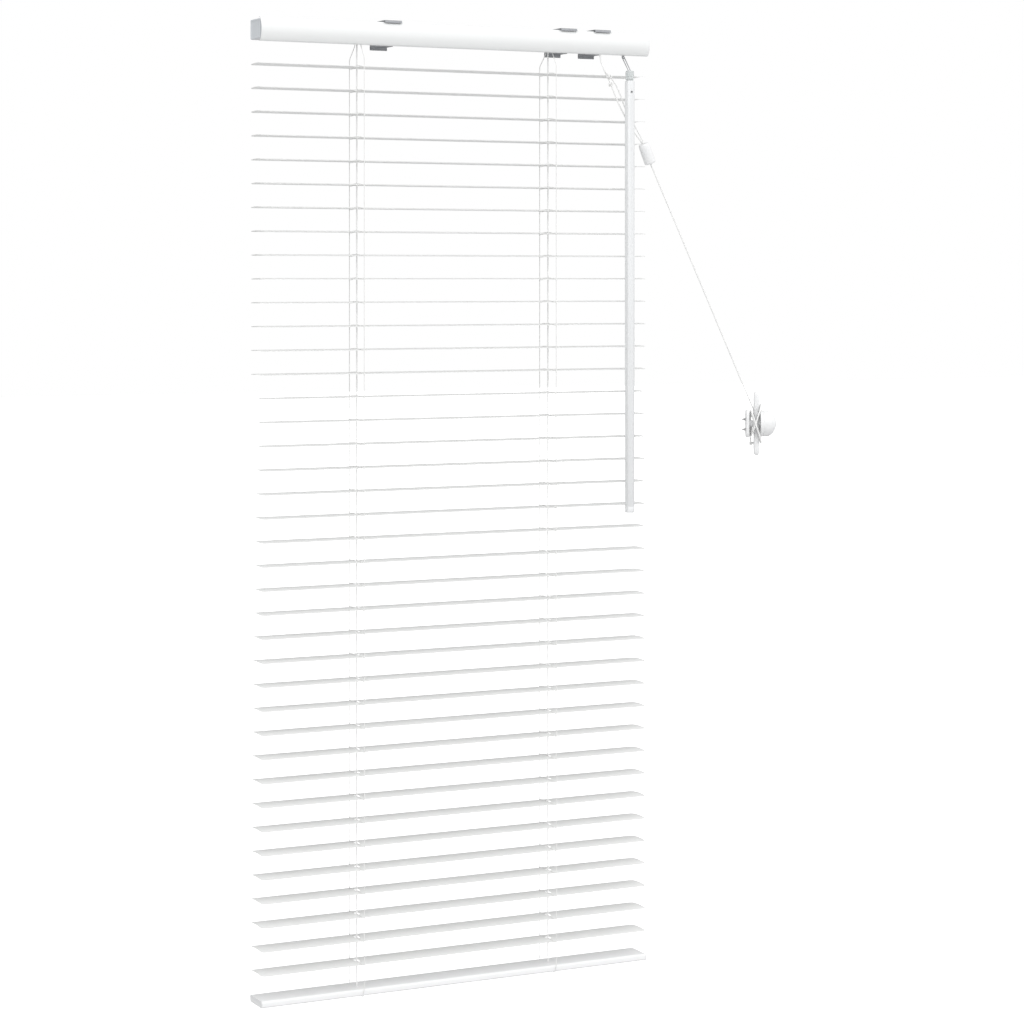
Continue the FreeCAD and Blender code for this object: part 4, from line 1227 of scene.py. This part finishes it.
horn_rings = [horn_ring(up, w, t) for up, w, t in HORN_SHAPE]
horn_rings += [horn_ring(-up, w, t) for up, w, t in reversed(HORN_SHAPE)]
horns = loft("horns", horn_rings, WHITE_PLASTIC)
post = turned("post", [
    (-7.6, 4.6), (-7.0, 4.1), (-6.2, 3.6), (-4.2, 3.4), (-3.2, 3.6), (-2.4, 4.2),
], cleat_middle, CLEAT_OUT, WHITE_PLASTIC)
BASE_SIZE = (16, 27)
BASE_STEPS = [(BASE_BACK, 0.5), (-10.2, 0.0), (-8.2, 0.0), (-7.7, 0.25), (-7.5, 0.8)]


def base_ring(out, inset):
    """One outline of the base, inset to round its edges."""
    outline = rounded_box(BASE_SIZE[0] - 2 * inset, BASE_SIZE[1] - 2 * inset, 5 - inset * 0.8)
    return [on_cleat(out, p.x, p.y) for p in outline]


base = loft("base", [base_ring(*step) for step in BASE_STEPS], WHITE_PLASTIC)
cleat = join("cleat_body", horns, post, base)
cleat.data.shade_smooth()
cleat.data.set_sharp_from_angle(angle=math.radians(CRISP))
tell("cleat_body")

# %% Cap with its rings, and the screws
cap_profile = [
    (2.6, 0), (2.6, 3.0), (3.6, 3.2), (4.1, 4.2), (4.2, 7), (4.2, 10.4), (3.9, 11.2), (3.5, 11.6),
    (3.3, 12.1), (3.35, 12.7), (3.7, 13.0), (6.2, 13.0), (6.4, 12.75), (6.8, 12.75), (7.0, 13.0),
    (10.4, 12.9), (12.2, 12.45), (14.2, 11.3), (16.0, 9.6), (16.9, 8.4), (16.85, 8.1), (17.15, 7.8),
    (17.4, 7.6), (18.2, 6.2), (18.9, 4.5), (18.8, 4.2), (19.15, 3.9), (19.55, 2.4), (19.8, 0),
]
cleat_cap = turned("cleat_cap", cap_profile, cleat_middle, CLEAT_OUT, WHITE_PLASTIC, 64)


def screw_relief(along, angle):
    """A pointed shank with one thread round it."""
    tip = np.clip(along / (3 * MM), 0.25, 1)
    ridge = 0.5 + 0.5 * np.cos(angle - 2 * math.pi * along / (1.1 * MM))
    return tip * (0.74 + 0.26 * ridge ** 2)


screws = []
for way in (-1, 1):
    up = way * 5 - 1
    line = spaced([on_cleat(-15, 0, up), on_cleat(-8.2, 0, up)], 0.16 * MM)
    shank = sweep("shank", line, 1.5 * MM, 20, SCREW_STEEL, screw_relief)
    head = turned("head", [
        (-8.8, 0), (-8.8, 1.4), (-7.6, 2.7), (-7.1, 2.6), (-6.8, 1.9), (-6.7, 0),
    ], on_cleat(0, 0, up), CLEAT_OUT, SCREW_STEEL, 24)
    screws += [shank, head]
cleat_screws = join("cleat_screws", *screws)
cleat_screws.data.shade_smooth()
for piece, slot_name in ((cleat, "plastic_white"), (cleat_cap, "plastic_white"),
                         (cleat_screws, "bracket_steel")):
    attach(piece, "headrail")
    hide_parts("cord_cleat")
tell("cleat_")

# %% [markdown]
# ## Bottom rail
# The bottom rail is a flat tube of painted steel that weighs the slats down. Its seam runs
# along the underside, moulded caps close its ends, and a round plug under each ladder hides
# the knots. The tube is folded from one outline, with the seam as a real groove.

# %% Rail tube
RAIL_HEIGHT = 6.5 * MM
RAIL_CORNER = 2 * MM
RAIL_CAP = 1 * MM
rail_top = rail_high.z
rail_middle = Vector((MIDDLE_Y, rail_top - RAIL_HEIGHT / 2))
outline = [p + rail_middle for p in rounded_box(SLAT_WIDTH - 0.2 * MM, RAIL_HEIGHT, RAIL_CORNER, 7)]
bottom_z = rail_top - RAIL_HEIGHT
lowest = max(k for k, p in enumerate(outline) if p.y < bottom_z + 1e-6 and p.x < MIDDLE_Y)
outline[lowest + 1:lowest + 1] = [  # the seam: a groove 0.45 mm deep
    Vector((MIDDLE_Y + across * MM, bottom_z + deep * MM))
    for across, deep in ((6.2, 0), (6.35, 0.45), (6.65, 0.45), (6.8, 0))]
tube_end = rail_high.x - RAIL_CAP
tube = extruded("rail_tube", outline, -tube_end, tube_end, RAIL_ENAMEL)
tell("rail_tube")


# %% Rail caps and plugs
def rail_cap(name, way):
    """One end cap, lofted from the middle of its face round its rim to its collar."""
    def ring(distance, inset, corner):
        x = way * (rail_high.x - distance * MM)
        shape = rounded_box(SLAT_WIDTH - 2 * inset * MM, RAIL_HEIGHT - 2 * inset * MM, corner * MM)
        return [Vector((x, *(p + rail_middle))) for p in shape]

    rings = [ring(0.35, 1.9, 0.6), ring(0.3, 1.6, 0.8), ring(0.02, 1.2, 1.1), ring(0, 0.8, 1.4),
             ring(0.25, 0.1, 1.9), ring(0.5, 0, 2), ring(1, 0, 2), ring(1, 0.9, 1.3),
             ring(5, 1.0, 1.2)]
    return loft(name, rings, RAIL_PLASTIC)


for side, way in (("left", -1), ("right", 1)):
    cap = rail_cap("rail_cap_" + side, way)
    plug = turned("ladder_plug_" + side, [
        (2.4, 0), (2.4, 2.2), (0, 2.4), (0, 3.9), (-0.2, 4.0), (-0.6, 3.95), (-0.95, 3.4),
        (-1.0, 2.2), (-0.7, 1.9), (-0.65, 0),
    ], (way * LADDER_X, MIDDLE_Y, bottom_z), (0, 0, 1), RAIL_PLASTIC)
    for piece in (cap, plug):
        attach(piece, "bottom_rail")
        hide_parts("bottom_rail")
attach(tube, "bottom_rail")
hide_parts("bottom_rail")
tell("rail_cap")

# %% [markdown]
# ## Studio
# White on white needs light that models shape, so the tops must be brighter than the
# undersides. A large soft source stands high in front, the surroundings fill in from all
# round, and a pale floor far below sends some light back up.

# %% Floor
bpy.context.scene.view_settings.view_transform = "Standard"
FLOOR_DROP = 70 * MM         # below the lowest point of the blind
FLOOR_REACH = 14
FLOOR_GLOW = 1.0             # only what the camera sees glows; it lights nothing
floor_level = cad_box[0][2] - FLOOR_DROP
floor_mesh = bpy.data.meshes.new("studio_floor")
floor_mesh.from_pydata([(x * FLOOR_REACH, y * FLOOR_REACH, floor_level)
                        for x, y in ((-1, -1), (1, -1), (1, 1), (-1, 1))], [], [(0, 1, 2, 3)])
floor_finish = finish("floor_paper", (0.6, 0.6, 0.6), 0.9, emission_color=(1, 1, 1, 1))
bump_by(floor_finish, mask_of(floor_finish, grain, scale=300.0), 0.0001, 0.1)
paper = floor_finish.node_tree
in_view = node(paper, "ShaderNodeLightPath").outputs["Is Camera Ray"]
glow = node(paper, "ShaderNodeMath", {0: in_view, 1: FLOOR_GLOW}, operation="MULTIPLY").outputs[0]
paper.links.new(glow, paper.nodes["Principled BSDF"].inputs["Emission Strength"])
floor_mesh.materials.append(floor_finish)
floor = link(bpy.data.objects.new("studio_floor", floor_mesh))
tell("studio")

# %% Surroundings: brighter in front than behind, and dimmer below
SKY_FRONT = 1.5
SKY_BACK = 0.55
SKY_LOW = 0.6
world = bpy.data.worlds.new("studio")
world.use_nodes = True
bpy.context.scene.world = world
sky = world.node_tree
background = sky.nodes["Background"]
background.inputs["Color"].default_value = (1, 1, 1, 1)
towards = node(sky, "ShaderNodeSeparateXYZ",
               {0: node(sky, "ShaderNodeTexCoord").outputs["Generated"]}).outputs
frontness = node(sky, "ShaderNodeMapRange", {
    0: towards["Y"], 1: -0.7, 2: 0.7, 3: SKY_FRONT, 4: SKY_BACK}).outputs[0]
upness = node(sky, "ShaderNodeMapRange", {
    0: towards["Z"], 1: -0.3, 2: 0.1, 3: SKY_LOW, 4: 1.0}).outputs[0]
shaped = node(sky, "ShaderNodeMath", {0: frontness, 1: upness}, operation="MULTIPLY").outputs[0]
seen = node(sky, "ShaderNodeLightPath").outputs["Is Camera Ray"]
strength = node(sky, "ShaderNodeMix", {0: seen, 2: shaped, 3: 1.0}).outputs[0]
sky.links.new(strength, background.inputs["Strength"])
print("light from the front, from behind:", SKY_FRONT, SKY_BACK)

# %% Key light
KEY_PLACE = Vector((-0.6, -2.6, 2.4))
KEY_SIZE = 2.2
KEY_POWER = 8.2
middle = (Vector(cad_box[0]) + Vector(cad_box[1])) / 2
key_data = bpy.data.lights.new("key", "AREA")
key_data.shape = "DISK"
key_data.size = KEY_SIZE
key_data.energy = KEY_POWER
key = link(bpy.data.objects.new("key", key_data))
key.location = KEY_PLACE
key.rotation_euler = (middle - KEY_PLACE).to_track_quat("-Z", "Y").to_euler()
print("lights:", len(bpy.data.lights))
